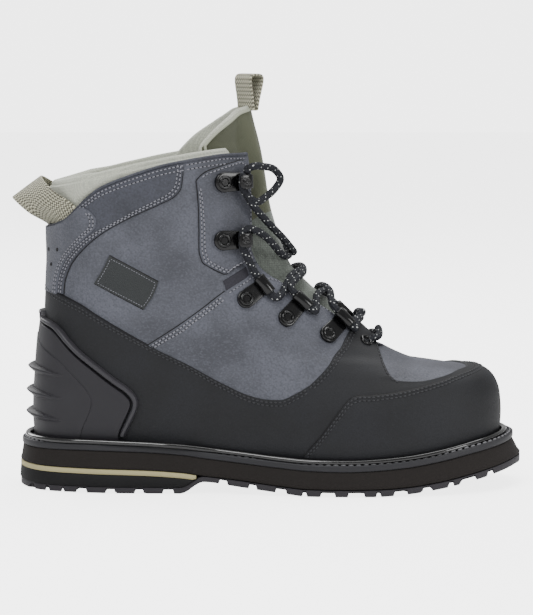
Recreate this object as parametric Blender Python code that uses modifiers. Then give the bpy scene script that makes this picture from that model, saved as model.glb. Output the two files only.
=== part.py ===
"""Wading boot for the right foot, standing empty on its sole.

The frame is +X to the toe, +Y to the inner (medial) side and +Z up, in metres. The origin is on
the floor under the middle of the heel. Sizes in this file are millimetres until MM turns them to
metres. The upper, its overlays, the cuff and the tongue all come from one function, form(), which
gives the outer surface of the lasted leather.
"""

import math

import bmesh
import bpy
import numpy as np
from mathutils import Matrix, Vector

MM = 0.001
OUTER, INNER = -1.0, 1.0
PAIR = (("outer", OUTER), ("inner", INNER))

# Driving sizes of the last and the upper
HEEL_BACK = -27.0
LAST_LENGTH = 286.0
BALL_WIDTH = 100.0
UPPER_HEIGHT = 178.0
TOE_SWING = 5.0
WALL = 2.4
GAP = 0.3

# Overlays, cuff, tongue and webbing
OVERLAY = 1.5
OVERLAY_GAP = 0.75
COUNTER_WALL = 2.4
COUNTER_RIM = 1.0
SPIKE = 5.2
CUFF_WALL = 5.0
TONGUE_WALL = 4.0
WEBBING = 1.5
TONGUE_LOOP_WIDTH = 15.0
TONGUE_LOOP_REACH = 20.0

# Sole
SOLE_BACK = -38.4
SOLE_LENGTH = 308.0
SOLE_WIDTH = 109.0
HEEL_SEAT = 30.0
WELT = 4.3
WELT_BEAD = 2.2
STRIPE = 3.0
LUG_DEPTH = 2.5
FOOTBED = 4.0

# Lace and its metal
LACE = 4.6
RIVET_RADIUS = 4.3
PLATE_RADIUS = 6.4
PLATE = 1.2
TUBE_BORE = 2.8
TUBE_WALL = 0.9
TUBE_LENGTH = 12.0
EYELET_BORE = 2.7

# Rings of the last from the feather line (row 0) to the collar (row 12). Rows 13 and 14 carry the
# tongue above it. back and front are shares of LAST_LENGTH, the rises and the bow are shares of
# UPPER_HEIGHT, hug is how far the ring follows the toe spring, and the half-widths and the end
# radii are shares of BALL_WIDTH.
RING_NAMES = (
    "back", "front", "rise_back", "rise_front", "bow", "hug", "heel",
    "waist_out", "waist_in", "ball_out", "ball_in", "toe_out", "toe_in", "heel_end", "toe_end",
)
RINGS = np.array((
    (0.003, 0.997, 0.000, 0.000, 0.000, 1.00, 0.310, 0.380, 0.300, 0.475, 0.445, 0.450, 0.410, 0.30, 0.39),
    (0.000, 1.000, 0.084, 0.074, 0.000, 0.95, 0.330, 0.400, 0.330, 0.500, 0.470, 0.470, 0.430, 0.31, 0.41),
    (0.001, 0.997, 0.157, 0.143, 0.000, 0.80, 0.335, 0.405, 0.350, 0.490, 0.465, 0.460, 0.420, 0.31, 0.41),
    (0.004, 0.984, 0.225, 0.198, 0.000, 0.60, 0.340, 0.400, 0.360, 0.460, 0.445, 0.425, 0.395, 0.31, 0.38),
    (0.007, 0.958, 0.292, 0.229, 0.000, 0.40, 0.345, 0.395, 0.370, 0.430, 0.420, 0.375, 0.360, 0.31, 0.33),
    (0.011, 0.906, 0.360, 0.249, 0.000, 0.20, 0.350, 0.390, 0.375, 0.410, 0.405, 0.325, 0.320, 0.31, 0.27),
    (0.016, 0.836, 0.427, 0.264, 0.000, 0.10, 0.350, 0.385, 0.375, 0.395, 0.395, 0.310, 0.310, 0.30, 0.22),
    (0.018, 0.752, 0.494, 0.315, 0.000, 0.00, 0.350, 0.385, 0.380, 0.390, 0.390, 0.305, 0.310, 0.29, 0.20),
    (0.020, 0.689, 0.562, 0.399, 0.000, 0.00, 0.345, 0.385, 0.385, 0.385, 0.385, 0.300, 0.305, 0.28, 0.20),
    (0.022, 0.612, 0.635, 0.500, 0.000, 0.00, 0.340, 0.390, 0.390, 0.385, 0.385, 0.300, 0.305, 0.27, 0.20),
    (0.021, 0.542, 0.713, 0.609, 0.000, 0.00, 0.335, 0.400, 0.400, 0.390, 0.390, 0.295, 0.300, 0.26, 0.20),
    (0.021, 0.508, 0.798, 0.775, 0.005, 0.00, 0.330, 0.410, 0.410, 0.405, 0.405, 0.310, 0.310, 0.26, 0.22),
    (0.024, 0.481, 0.882, 1.010, 0.014, 0.00, 0.330, 0.420, 0.420, 0.415, 0.415, 0.320, 0.320, 0.26, 0.23),
    (0.026, 0.466, 0.990, 1.110, 0.014, 0.00, 0.320, 0.415, 0.415, 0.410, 0.410, 0.315, 0.315, 0.26, 0.23),
    (0.030, 0.454, 1.080, 1.200, 0.014, 0.00, 0.310, 0.400, 0.400, 0.390, 0.390, 0.300, 0.300, 0.26, 0.23),
))
RING = {name: RINGS[:, column] for column, name in enumerate(RING_NAMES)}
RING_NUMBERS = np.arange(len(RINGS), dtype=float)
STATIONS = np.array((0.0, 0.13, 0.38, 0.64, 0.84, 1.0))
THROAT_RING = 7.0
COLLAR_RING = 12.0

# Side profile of the sole. at is the share of SOLE_LENGTH from its back, welt_top the feather
# line, foam_low the underside of the foam, tread_top the top of the rubber and ground the lugs'
# feet, all as shares of HEEL_SEAT.
PROFILE = np.array((
    # at, welt_top, foam_low, tread_top, ground
    (0.000, 1.000, 0.520, 0.150, 0.020),
    (0.040, 1.000, 0.512, 0.130, 0.000),
    (0.130, 1.000, 0.500, 0.130, 0.000),
    (0.240, 0.980, 0.480, 0.130, 0.000),
    (0.325, 0.925, 0.430, 0.130, 0.000),
    (0.372, 0.860, 0.365, 0.355, 0.245),
    (0.440, 0.780, 0.293, 0.283, 0.160),
    (0.530, 0.690, 0.187, 0.177, 0.050),
    (0.580, 0.650, 0.144, 0.134, 0.000),
    (0.660, 0.635, 0.140, 0.130, 0.000),
    (0.710, 0.655, 0.144, 0.134, 0.000),
    (0.775, 0.710, 0.180, 0.170, 0.040),
    (0.840, 0.810, 0.267, 0.257, 0.125),
    (0.905, 0.940, 0.400, 0.390, 0.250),
    (0.960, 1.035, 0.520, 0.510, 0.370),
    (1.000, 1.100, 0.610, 0.600, 0.460),
))
WELT_TOP, FOAM_LOW, TREAD_TOP, GROUND = 1, 2, 3, 4
# Half-widths of the sole's outline at STATIONS, and its end radii, as shares of SOLE_WIDTH
SOLE_OUTER = (0.36, 0.355, 0.405, 0.515, 0.475, 0.43)
SOLE_INNER = (0.36, 0.355, 0.335, 0.475, 0.445, 0.43)
FOAM_FLARE_TOE = 4.5
FOAM_FLARE_HEEL = 1.2
BREAST = 0.346
BREAST_STATIONS = (0.325, 0.338, 0.356, 0.372)
ROUND_COLUMNS = 36


def hermite(nodes, values, at):
    """Shape-preserving cubic through nodes. values has a row for each node, at any shape."""
    at = np.asarray(at, float)
    flat = np.clip(at.ravel(), nodes[0], nodes[-1])
    rows = np.broadcast_to(np.asarray(values, float).reshape(len(nodes), -1), (len(nodes), flat.size))
    step = np.diff(nodes)[:, None]
    slope = np.diff(rows, axis=0) / step
    tangent = np.zeros_like(rows)
    before, after = slope[:-1], slope[1:]
    near, far = 2 * step[1:] + step[:-1], step[1:] + 2 * step[:-1]
    same = before * after > 1e-12
    safe_before = np.where(same, before, 1.0)
    safe_after = np.where(same, after, 1.0)
    tangent[1:-1] = np.where(same, (near + far) / (near / safe_before + far / safe_after), 0.0)
    tangent[0], tangent[-1] = slope[0], slope[-1]
    low = np.clip(np.searchsorted(nodes, flat, side="right") - 1, 0, len(nodes) - 2)
    column = np.arange(flat.size)
    width = step[low, 0]
    t = (flat - nodes[low]) / width
    result = (
        rows[low, column] * (1 + 2 * t) * (1 - t) ** 2
        + rows[low + 1, column] * t * t * (3 - 2 * t)
        + width * t * (1 - t) * (tangent[low, column] * (1 - t) - tangent[low + 1, column] * t)
    )
    return result.reshape(at.shape)


def smoothstep(low, high, at):
    t = np.clip((np.asarray(at, float) - low) / (high - low), 0, 1)
    return t * t * (3 - 2 * t)


def profile(column, x):
    """Height of one line of the sole's side profile at x."""
    return HEEL_SEAT * hermite(PROFILE[:, 0], PROFILE[:, column], (x - SOLE_BACK) / SOLE_LENGTH)


def oval(theta, ends, outer, inner):
    """Half-width round an oval: the sine of theta times a curve through the stated half-widths."""
    share = (1 - np.cos(theta)) / 2
    crest = 2 * np.sqrt(STATIONS[1:-1] * (1 - STATIONS[1:-1]))[:, None]
    stack = []
    for widths in (outer, inner):
        middle = np.asarray(widths) / crest
        stack.append(np.vstack([ends[0][None], middle, ends[1][None]]))
    crowns = np.where(np.sin(theta) < 0, stack[0], stack[1])
    return np.sin(theta) * hermite(STATIONS, crowns, share)


def form(theta, ring):
    """Outer face of the lasted leather, in millimetres. theta runs round each ring from 0 at the
    heel to pi at the toe, negative on the outer side, and ring counts the rows of RINGS."""
    theta, ring = np.broadcast_arrays(np.asarray(theta, float), np.asarray(ring, float))
    shape = theta.shape
    theta, ring = theta.ravel(), ring.ravel()
    at = {name: hermite(RING_NUMBERS, RING[name], ring) for name in RING_NAMES}
    share = (1 - np.cos(theta)) / 2
    back = HEEL_BACK + LAST_LENGTH * at["back"]
    length = LAST_LENGTH * (at["front"] - at["back"])
    x = back + length * share
    ends = [np.sqrt(at[name] * BALL_WIDTH * length / 2) for name in ("heel_end", "toe_end")]
    outer = BALL_WIDTH * np.stack([at[name] for name in ("heel", "waist_out", "ball_out", "toe_out")])
    inner = BALL_WIDTH * np.stack([at[name] for name in ("heel", "waist_in", "ball_in", "toe_in")])
    y = oval(theta, ends, outer, inner)
    y = y + TOE_SWING * smoothstep(0.55, 1.0, (x - HEEL_BACK) / LAST_LENGTH)
    rise = at["rise_back"] + (at["rise_front"] - at["rise_back"]) * share
    rise = rise + at["bow"] * np.sin(math.pi * share)
    z = HEEL_SEAT + at["hug"] * (profile(WELT_TOP, x) - HEEL_SEAT) + UPPER_HEIGHT * rise
    return np.stack([x, y, z + GAP], axis=-1).reshape(*shape, 3)


def outward(theta, ring):
    """Unit normal of form(), from small steps along both of its directions."""
    step = 1e-3
    along = form(theta + step, ring) - form(theta - step, ring)
    up = form(theta, np.minimum(ring + step, 14)) - form(theta, np.maximum(ring - step, 0))
    normal = np.cross(up, along)
    return normal / np.linalg.norm(normal, axis=-1, keepdims=True)


def lifted(theta, ring, height):
    """A point height above form(), along its normal."""
    theta, ring, height = np.broadcast_arrays(
        np.asarray(theta, float), np.asarray(ring, float), np.asarray(height, float)
    )
    return form(theta, ring) + outward(theta, ring) * height[..., None]


SEARCH_THETA, SEARCH_RING = np.meshgrid(
    np.linspace(0.02, math.pi - 0.02, 90), np.linspace(0, 14, 141), indexing="ij"
)


def locate(x, z, side):
    """theta and ring of the point of form() that the side view shows at x, z."""
    theta_grid = side * SEARCH_THETA
    seen = form(theta_grid, SEARCH_RING)
    best = np.argmin((seen[..., 0] - x) ** 2 + (seen[..., 2] - z) ** 2)
    theta, ring = theta_grid.ravel()[best], SEARCH_RING.ravel()[best]
    step = 1e-3
    for _ in range(12):
        here = form(theta, ring)
        by_theta = (form(theta + step, ring) - here) / step
        by_ring = (form(theta, ring + step) - here) / step
        jacobian = np.array([[by_theta[0], by_ring[0]], [by_theta[2], by_ring[2]]])
        miss = np.array([x - here[0], z - here[2]])
        move = np.linalg.lstsq(jacobian, miss, rcond=0.05)[0]
        theta = float(np.clip(theta + np.clip(move[0], -0.1, 0.1), *sorted((0.0, side * math.pi))))
        ring = float(np.clip(ring + np.clip(move[1], -0.5, 0.5), 0, 14))
    return theta, ring


def located(points, side):
    """theta and ring of each x, z of a line drawn on the side view, as two arrays."""
    return np.array([locate(x, z, side) for x, z in points]).T


# Upper's edges over the rings: throat_at pairs a ring with the throat edge's distance from the
# toe line as an angle, top_at pairs an angle from the heel with the ring of the leather's top edge
THROAT = np.array((
    # ring, angle
    (7.0, 0.34), (7.6, 0.36), (8.4, 0.42), (8.9, 0.53), (9.4, 0.66), (9.9, 0.74), (10.3, 0.74),
    (10.7, 0.67), (11.3, 0.57), (11.8, 0.50), (12.5, 0.50),
))
LEATHER_TOP = np.array((
    # angle, ring
    (0.0, 10.30), (0.27, 10.36), (0.55, 10.60), (0.90, 11.36), (1.05, 11.60), (1.36, 11.80),
    (1.75, 11.93), (2.25, 11.96), (2.55, 11.92), (math.pi, 11.90),
))
CUFF_TOP = np.array((
    (0.0, 12.00), (0.55, 11.98), (1.00, 11.99), (1.36, 12.02), (1.75, 12.05), (2.25, 12.07),
    (2.50, 12.06), (math.pi, 12.0),
))
TONGUE_TOP_OUTER = np.array(((0.0, 13.42), (0.25, 13.38), (0.55, 13.10), (0.80, 12.75), (1.02, 12.25)))
TONGUE_TOP_INNER = np.array(((0.0, 13.42), (0.30, 13.40), (0.70, 13.10), (1.05, 12.65), (1.34, 12.02)))

# Outlines on the side view, as shares of LAST_LENGTH from the heel's back and of UPPER_HEIGHT
# from the heel seat
RAND = (
    (-0.10, 0.532), (0.032, 0.529), (0.059, 0.512), (0.100, 0.478), (0.142, 0.434), (0.184, 0.395),
    (0.247, 0.337), (0.332, 0.272), (0.417, 0.199), (0.460, 0.171), (0.492, 0.161), (0.524, 0.158),
    (0.545, 0.161), (0.566, 0.182), (0.588, 0.208), (0.609, 0.240), (0.630, 0.279), (0.641, 0.306),
    (0.652, 0.322), (0.669, 0.346), (0.688, 0.376), (0.702, 0.398), (0.718, 0.385), (0.729, 0.350),
    (0.740, 0.312), (0.748, 0.272), (0.755, 0.238), (0.762, 0.222), (0.775, 0.214), (0.822, 0.212), (0.867, 0.222), (0.910, 0.240), (0.945, 0.258), (1.10, 0.262),
)
TOE_CAP = (
    (0.577, -0.034), (0.588, -0.006), (0.609, 0.032), (0.630, 0.078), (0.652, 0.122),
    (0.668, 0.153), (0.684, 0.167), (0.716, 0.170), (0.780, 0.179), (0.843, 0.198), (0.885, 0.215),
    (0.928, 0.236), (0.960, 0.262), (1.10, 0.262),
)
COUNTER = (
    (-0.10, 0.430), (0.012, 0.429), (0.050, 0.403), (0.059, 0.391), (0.097, 0.325), (0.139, 0.270),
    (0.182, 0.218), (0.204, 0.194), (0.218, 0.166), (0.222, 0.145), (0.220, 0.124), (0.209, 0.083),
    (0.198, 0.048), (0.192, 0.020),
)
COUNTER_PLATE = (
    (-0.10, 0.400), (0.008, 0.399), (0.042, 0.376), (0.083, 0.306), (0.128, 0.248), (0.170, 0.197),
    (0.190, 0.176), (0.202, 0.158), (0.205, 0.143), (0.203, 0.126), (0.193, 0.087), (0.184, 0.056),
    (0.176, 0.030),
)
EYESTAY = (
    (0.350, 0.925), (0.362, 0.940), (0.397, 0.963), (0.428, 0.980), (0.50, 0.990), (0.50, 0.62),
    (0.475, 0.610), (0.462, 0.612), (0.445, 0.628), (0.428, 0.608), (0.405, 0.587), (0.371, 0.614),
    (0.356, 0.642), (0.352, 0.738), (0.350, 0.841),
)
LABEL = ((0.161, 0.651), (0.265, 0.562), (0.233, 0.466), (0.129, 0.555))
HOOKS = ((0.401, 0.900), (0.401, 0.702))
# A guide's rivet, then the middle of its tube
GUIDES = (
    ((0.451, 0.500), (0.486, 0.542)),
    ((0.538, 0.433), (0.566, 0.480)),
    ((0.626, 0.371), (0.656, 0.411)),
)
EYELET = (0.707, 0.338)
FINS = (0.242, 0.161, 0.086)


def side_view(at, rise):
    """Side-view x and z, in millimetres, of a point given as shares."""
    return HEEL_BACK + LAST_LENGTH * at, HEEL_SEAT + UPPER_HEIGHT * rise


def new_scene():
    for item in list(bpy.data.objects):
        bpy.data.objects.remove(item, do_unlink=True)


def material(name, colour, roughness, metallic=0.0):
    made = bpy.data.materials.new(name)
    made.use_nodes = True
    shader = made.node_tree.nodes["Principled BSDF"]
    shader.inputs["Base Color"].default_value = (*[(c / 255) ** 2.2 for c in colour], 1)
    shader.inputs["Roughness"].default_value = roughness
    shader.inputs["Metallic"].default_value = metallic
    return made


new_scene()
BOOT = bpy.data.collections.new("wading_boot")
CUTTERS = bpy.data.collections.new("cutters")
bpy.context.scene.collection.children.link(BOOT)
bpy.context.scene.collection.children.link(CUTTERS)

LOOKS = {
    "leather": material("grey_leather", (110, 112, 122), 0.75),
    "rand": material("rand_coating", (48, 49, 54), 0.6),
    "counter": material("counter_rubber", (72, 70, 75), 0.55),
    "lining": material("sage_lining", (196, 200, 186), 0.9),
    "tongue": material("olive_cloth", (88, 92, 78), 0.9),
    "webbing": material("pale_webbing", (190, 185, 160), 0.9),
    "foam": material("brown_foam", (52, 44, 42), 0.8),
    "stripe": material("khaki_stripe", (180, 172, 130), 0.7),
    "lift": material("black_lift", (35, 35, 36), 0.7),
    "tread": material("grey_rubber", (70, 70, 74), 0.8),
    "welt": material("welt_rubber", (78, 78, 82), 0.7),
    "bead": material("black_bead", (18, 18, 18), 0.25),
    "metal": material("black_metal", (22, 22, 24), 0.3, 0.6),
    "lace": material("charcoal_lace", (50, 52, 56), 0.9),
    "label": material("label_patch", (120, 122, 116), 0.8),
}


def mesh_object(name, points, faces, look, collection=None):
    """Object from points in millimetres, with its faces turned outward."""
    mesh = bpy.data.meshes.new(name)
    mesh.from_pydata([tuple(p) for p in np.asarray(points, float).reshape(-1, 3) * MM], [], faces)
    item = bpy.data.objects.new(name, mesh)
    (collection or BOOT).objects.link(item)
    if look:
        mesh.materials.append(LOOKS[look])
    mesh.shade_smooth()
    mesh.set_sharp_from_angle(angle=math.radians(35))
    return item


def turned_out(item):
    """Recalculate a closed mesh's normals."""
    work = bmesh.new()
    work.from_mesh(item.data)
    bmesh.ops.remove_doubles(work, verts=work.verts, dist=1e-7)
    bmesh.ops.recalc_face_normals(work, faces=work.faces)
    work.to_mesh(item.data)
    work.free()
    return item


def grid_faces(rows, columns, wrap=False, start=0):
    """Quads of a rows by columns grid of points, closed round the columns if wrap."""
    faces = []
    for row in range(rows - 1):
        for column in range(columns if wrap else columns - 1):
            beside = (column + 1) % columns
            low, high = start + row * columns, start + (row + 1) * columns
            faces.append((low + column, high + column, high + beside, low + beside))
    return faces


def closed_sheet(name, outer, inner, look, wrap=False, collection=None):
    """Solid between two grids of the same size, closed along their edges."""
    rows, columns = outer.shape[:2]
    count = rows * columns
    faces = grid_faces(rows, columns, wrap)
    faces += [tuple(reversed(face)) for face in grid_faces(rows, columns, wrap, count)]
    for column in range(columns if wrap else columns - 1):
        beside = (column + 1) % columns
        last = (rows - 1) * columns
        faces.append((beside, column, count + column, count + beside))
        faces.append((last + column, last + beside, count + last + beside, count + last + column))
    if not wrap:
        for row in range(rows - 1):
            low, high = row * columns, (row + 1) * columns
            faces.append((low, high, count + high, count + low))
            low, high = low + columns - 1, high + columns - 1
            faces.append((high, low, count + low, count + high))
    points = np.concatenate([outer.reshape(-1, 3), inner.reshape(-1, 3)])
    return turned_out(mesh_object(name, points, faces, look, collection))


def ring_angles():
    """Angles of the upper's columns, closer together round the heel and the toe."""
    even = np.linspace(-math.pi, math.pi, ROUND_COLUMNS, endpoint=False)
    return even + 0.10 * np.sin(2 * even)


def throat_angle(ring):
    return math.pi - hermite(THROAT[:, 0], THROAT[:, 1], ring)


LOW_RINGS = np.array((0.0, 1.0, 2.0, 2.8, 3.5, 4.3, 5.4, 7.0))
HIGH_ROWS = 6


def upper_surface(height, low_rings=LOW_RINGS, high=True):
    """Points and faces of the upper's open surface, height above the last's form. The lower rows
    close round the toe, and the higher rows stop at the throat."""
    angles = ring_angles()
    theta, ring = np.meshgrid(angles, low_rings)
    points = [lifted(theta, ring, height).reshape(-1, 3)]
    faces = grid_faces(len(low_rings), len(angles), wrap=True)
    if high:
        base = throat_angle(THROAT_RING)
        open_columns = np.where(np.abs(angles) <= base)[0]
        first = (len(low_rings) - 1) * len(angles)
        inside = angles[open_columns]
        edge = np.abs(inside).max()
        below = first + open_columns
        start = len(low_rings) * len(angles)
        for row in range(1, HIGH_ROWS + 1):
            top = hermite(LEATHER_TOP[:, 0], LEATHER_TOP[:, 1], np.abs(inside))
            ring_row = THROAT_RING + (top - THROAT_RING) * row / HIGH_ROWS
            pull = (edge - throat_angle(ring_row)) * (np.abs(inside) / edge) ** 4
            theta_row = np.sign(inside) * (np.abs(inside) - pull)
            points.append(lifted(theta_row, ring_row, height))
            here = start + np.arange(len(inside))
            for k in range(len(inside) - 1):
                faces.append((below[k], here[k], here[k + 1], below[k + 1]))
            below = here
            start += len(inside)
    return np.concatenate(points), faces


def thickened(item, thickness, offset=-1.0):
    solid = item.modifiers.new("wall", "SOLIDIFY")
    solid.thickness = thickness * MM
    solid.offset = offset
    solid.use_even_offset = True
    return item


def applied(item):
    """The object with its modifiers made part of its mesh."""
    bpy.context.view_layer.update()
    graph = bpy.context.evaluated_depsgraph_get()
    mesh = bpy.data.meshes.new_from_object(item.evaluated_get(graph))
    item.modifiers.clear()
    item.data = mesh
    return item


def prism(name, outline, low, high):
    """Cutter: a side-view outline, given as shares, run along Y from low to high."""
    count = len(outline)
    flat = [side_view(*point) for point in outline]
    points = [(x, low, z) for x, z in flat] + [(x, high, z) for x, z in flat]
    faces = [tuple(range(count)), tuple(reversed(range(count, 2 * count)))]
    for k in range(count):
        beside = (k + 1) % count
        faces.append((beside, k, count + k, count + beside))
    item = turned_out(mesh_object(name, points, faces, None, CUTTERS))
    item.hide_render = True
    item.display_type = "WIRE"
    return item


def boolean(item, cutter, operation):
    cut = item.modifiers.new(operation.lower(), "BOOLEAN")
    cut.operation = operation
    cut.solver = "EXACT"
    cut.object = cutter
    return item


def overlay(name, outline, look, low, thickness, rings=LOW_RINGS, high=True, side=0):
    """Panel that follows the upper, between low and low plus thickness above its face, trimmed to
    an outline on the side view. side picks the outer or the inner half, or both at 0."""
    points, faces = upper_surface(low + thickness, rings, high)
    item = applied(thickened(mesh_object(name, points, faces, look), thickness))
    reach = BALL_WIDTH
    span = (-reach, reach) if side == 0 else sorted((side * 2.0, side * reach))
    return applied(boolean(item, prism(name + "_outline", outline, *span), "INTERSECT"))


def sole_outline(theta, grow):
    """Plan of the sole, x and y, with grow added all round."""
    share = (1 - np.cos(theta)) / 2
    length = SOLE_LENGTH + 2 * grow
    ends = [np.sqrt(radius * SOLE_WIDTH * length / 2) for radius in (SOLE_OUTER[0], SOLE_OUTER[-1])]
    ends = [np.asarray(end) * np.ones(np.shape(theta)) for end in ends]
    widths = []
    for side in (SOLE_OUTER, SOLE_INNER):
        middle = np.asarray(side[1:-1])[:, None] * SOLE_WIDTH + grow
        widths.append(middle * np.ones(np.shape(theta)))
    x = SOLE_BACK - grow + length * share
    y = oval(theta, ends, widths[0], widths[1])
    swing = TOE_SWING * smoothstep(0.55, 1.0, (x - SOLE_BACK) / SOLE_LENGTH)
    return x, y + swing


def sole_slab(name, look, top, bottom, grow_top, grow_bottom, start=0.0, end=1.0, outline=sole_outline):
    """Layer of the sole from start to end of its length. top and bottom give heights over x, and
    its sides lean from grow_top to grow_bottom."""
    low, high = math.acos(1 - 2 * start), math.acos(1 - 2 * end)
    breast = np.arccos(1 - 2 * np.array(BREAST_STATIONS))
    theta = np.concatenate([np.linspace(low, high, 24), breast[(breast > low) & (breast < high)]])
    theta = np.unique(theta)
    if start == 0:
        theta[0] = 0.02
    if end == 1:
        theta[-1] = math.pi - 0.02
    corners = []
    for grow, height in ((grow_top, top), (grow_bottom, bottom)):
        extra = grow(theta) if callable(grow) else grow
        for side in (OUTER, INNER):
            x, y = outline(side * theta, extra)
            corners.append(np.stack([x, y, height(x)], axis=-1))
    top_outer, top_inner, low_outer, low_inner = corners
    loop = np.stack([top_outer, top_inner, low_inner, low_outer], axis=1)
    faces = grid_faces(len(theta), 4, wrap=True)
    last = 4 * (len(theta) - 1)
    faces += [(3, 2, 1, 0), (last, last + 1, last + 2, last + 3)]
    return turned_out(mesh_object(name, loop, faces, look))


def at_theta(value):
    """Share of the sole's length as the x of its station."""
    return SOLE_BACK + SOLE_LENGTH * value


def toe_flare(theta):
    share = (1 - np.cos(theta)) / 2
    return FOAM_FLARE_HEEL + (FOAM_FLARE_TOE - FOAM_FLARE_HEEL) * smoothstep(0.8, 1.0, share)


# Sole, from the feather line down
FOAM_TOP_DROP = WELT + GAP


def foam_low(x):
    return profile(FOAM_LOW, x)


def tread_top(x):
    return profile(TREAD_TOP, x)


def over_tread(x):
    """Height just above the tread within 2 mm of x, for what sits on it."""
    return np.max([tread_top(x + step) for step in (-2.0, 0.0, 2.0)], axis=0) + GAP


def build_sole():
    sole_slab("welt", "welt", lambda x: profile(WELT_TOP, x),
              lambda x: profile(WELT_TOP, x) - WELT, 0.0, -0.4)
    sole_slab("midsole", "foam", lambda x: profile(WELT_TOP, x) - FOAM_TOP_DROP,
              foam_low, -2.0, toe_flare)
    sole_slab("heel_stripe", "stripe", lambda x: foam_low(x) - GAP,
              lambda x: np.maximum(foam_low(x) - GAP - STRIPE, over_tread(x)),
              FOAM_FLARE_HEEL - 0.6, FOAM_FLARE_HEEL, end=BREAST)
    sole_slab("heel_lift", "lift", lambda x: foam_low(x) - 2 * GAP - STRIPE,
              over_tread, FOAM_FLARE_HEEL, FOAM_FLARE_HEEL + 0.6, end=LIFT_END)
    tread = sole_slab("outsole", "tread", lambda x: np.minimum(tread_top(x), foam_low(x) - GAP),
                      lambda x: profile(GROUND, x), FOAM_FLARE_HEEL, toe_flare)
    cut_grooves(tread)


LIFT_END = 0.336
SIDE_LUG = 0.225
GROOVE_SIDE = (
    # start and end of each groove between the side lugs, as shares of SOLE_LENGTH
    (0.055, 0.061), (0.088, 0.091), (0.118, 0.138), (0.177, 0.195), (0.235, 0.252),
    (0.291, 0.312), (0.403, 0.419), (0.462, 0.477), (0.515, 0.536), (0.568, 0.576),
    (0.604, 0.632), (0.658, 0.690), (0.714, 0.722), (0.749, 0.775), (0.806, 0.824),
    (0.858, 0.868), (0.884, 0.914), (0.938, 0.950),
)
GROOVE_MIDDLE = (
    (0.070, 0.084), (0.152, 0.170), (0.225, 0.243), (0.290, 0.345), (0.415, 0.435),
    (0.490, 0.510), (0.560, 0.580), (0.635, 0.655), (0.705, 0.725), (0.775, 0.795), (0.845, 0.865),
    (0.910, 0.925),
)


def cut_grooves(tread):
    """Grooves between the lugs: short ones in from each side, staggered ones across the middle,
    and one down each side of the middle, all LUG_DEPTH deep."""
    blocks = []
    reach = SOLE_WIDTH
    for start, end in GROOVE_SIDE:
        for side in (OUTER, INNER):
            blocks.append((start, end, side * SIDE_LUG * SOLE_WIDTH, side * reach))
    for start, end in GROOVE_MIDDLE:
        blocks.append((start, end, -SIDE_LUG * SOLE_WIDTH, SIDE_LUG * SOLE_WIDTH))
    shared = bmesh.new()
    for start, end, near, far in blocks:
        x0, x1 = at_theta(start), at_theta(end)
        corner = []
        for x in (x0, x1):
            low = profile(GROUND, np.array(x))
            for z in (low - 6.0, low + LUG_DEPTH):
                for y in (near, far):
                    corner.append(shared.verts.new(Vector((x, y + swing_at(x), float(z))) * MM))
        box_faces(shared, corner)
    cutter = cutter_object("groove_cutter", shared)
    boolean(tread, cutter, "DIFFERENCE")
    tread.modifiers[-1].use_self = True
    shared = bmesh.new()
    for side in (OUTER, INNER):
        x_row = np.linspace(at_theta(0.02), at_theta(0.965), 18)
        low = profile(GROUND, x_row)
        middle = side * SIDE_LUG * SOLE_WIDTH + np.array([swing_at(x) for x in x_row])
        rows = []
        for x, z, y in zip(x_row, low, middle):
            rows.append([
                shared.verts.new(Vector((x, y + dy, z + dz)) * MM)
                for dy, dz in ((-1.6, -6.0), (1.6, -6.0), (1.2, LUG_DEPTH), (-1.2, LUG_DEPTH))
            ])
        for here, beyond in zip(rows[:-1], rows[1:]):
            for k in range(4):
                shared.faces.new((here[k], here[(k + 1) % 4], beyond[(k + 1) % 4], beyond[k]))
        shared.faces.new(rows[0])
        shared.faces.new(rows[-1])
    boolean(tread, cutter_object("channel_cutter", shared), "DIFFERENCE")
    applied(tread)


def swing_at(x):
    return float(TOE_SWING * smoothstep(0.55, 1.0, (x - SOLE_BACK) / SOLE_LENGTH))


def box_faces(work, corner):
    """Six faces of a box from its corners, ordered by x, then z, then y."""
    for loop in ((0, 1, 3, 2), (4, 6, 7, 5), (0, 2, 6, 4), (1, 5, 7, 3), (0, 4, 5, 1), (2, 3, 7, 6)):
        work.faces.new([corner[k] for k in loop])


def cutter_object(name, work):
    bmesh.ops.recalc_face_normals(work, faces=work.faces)
    mesh = bpy.data.meshes.new(name)
    work.to_mesh(mesh)
    work.free()
    item = bpy.data.objects.new(name, mesh)
    item.hide_render = True
    item.display_type = "WIRE"
    CUTTERS.objects.link(item)
    return item


def footbed_outline(theta, grow):
    place = form(theta, 0.15)
    facing = outward(theta, 0.15)
    inset = WALL + 7 * GAP
    return place[..., 0] - inset * facing[..., 0], place[..., 1] - inset * facing[..., 1]


def build_insole():
    sole_slab("insole", "lining", lambda x: profile(WELT_TOP, x) + GAP + FOOTBED,
              lambda x: profile(WELT_TOP, x) + GAP, 0.0, 0.0, outline=footbed_outline)


def build_upper():
    points, faces = upper_surface(0.0)
    thickened(mesh_object("upper", points, faces, "leather"), WALL)


CAP_RINGS = LOW_RINGS[:6]
COUNTER_CLEAR = 2.4


def on_welt(outline, clear=0.7):
    """The outline closed along the welt's top, from its last point back to its first."""
    at = np.linspace(outline[-1][0], outline[0][0], 12)
    line = profile(WELT_TOP, HEEL_BACK + LAST_LENGTH * at) + clear
    return tuple(outline) + tuple(zip(at, (line - HEEL_SEAT) / UPPER_HEIGHT))


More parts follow.
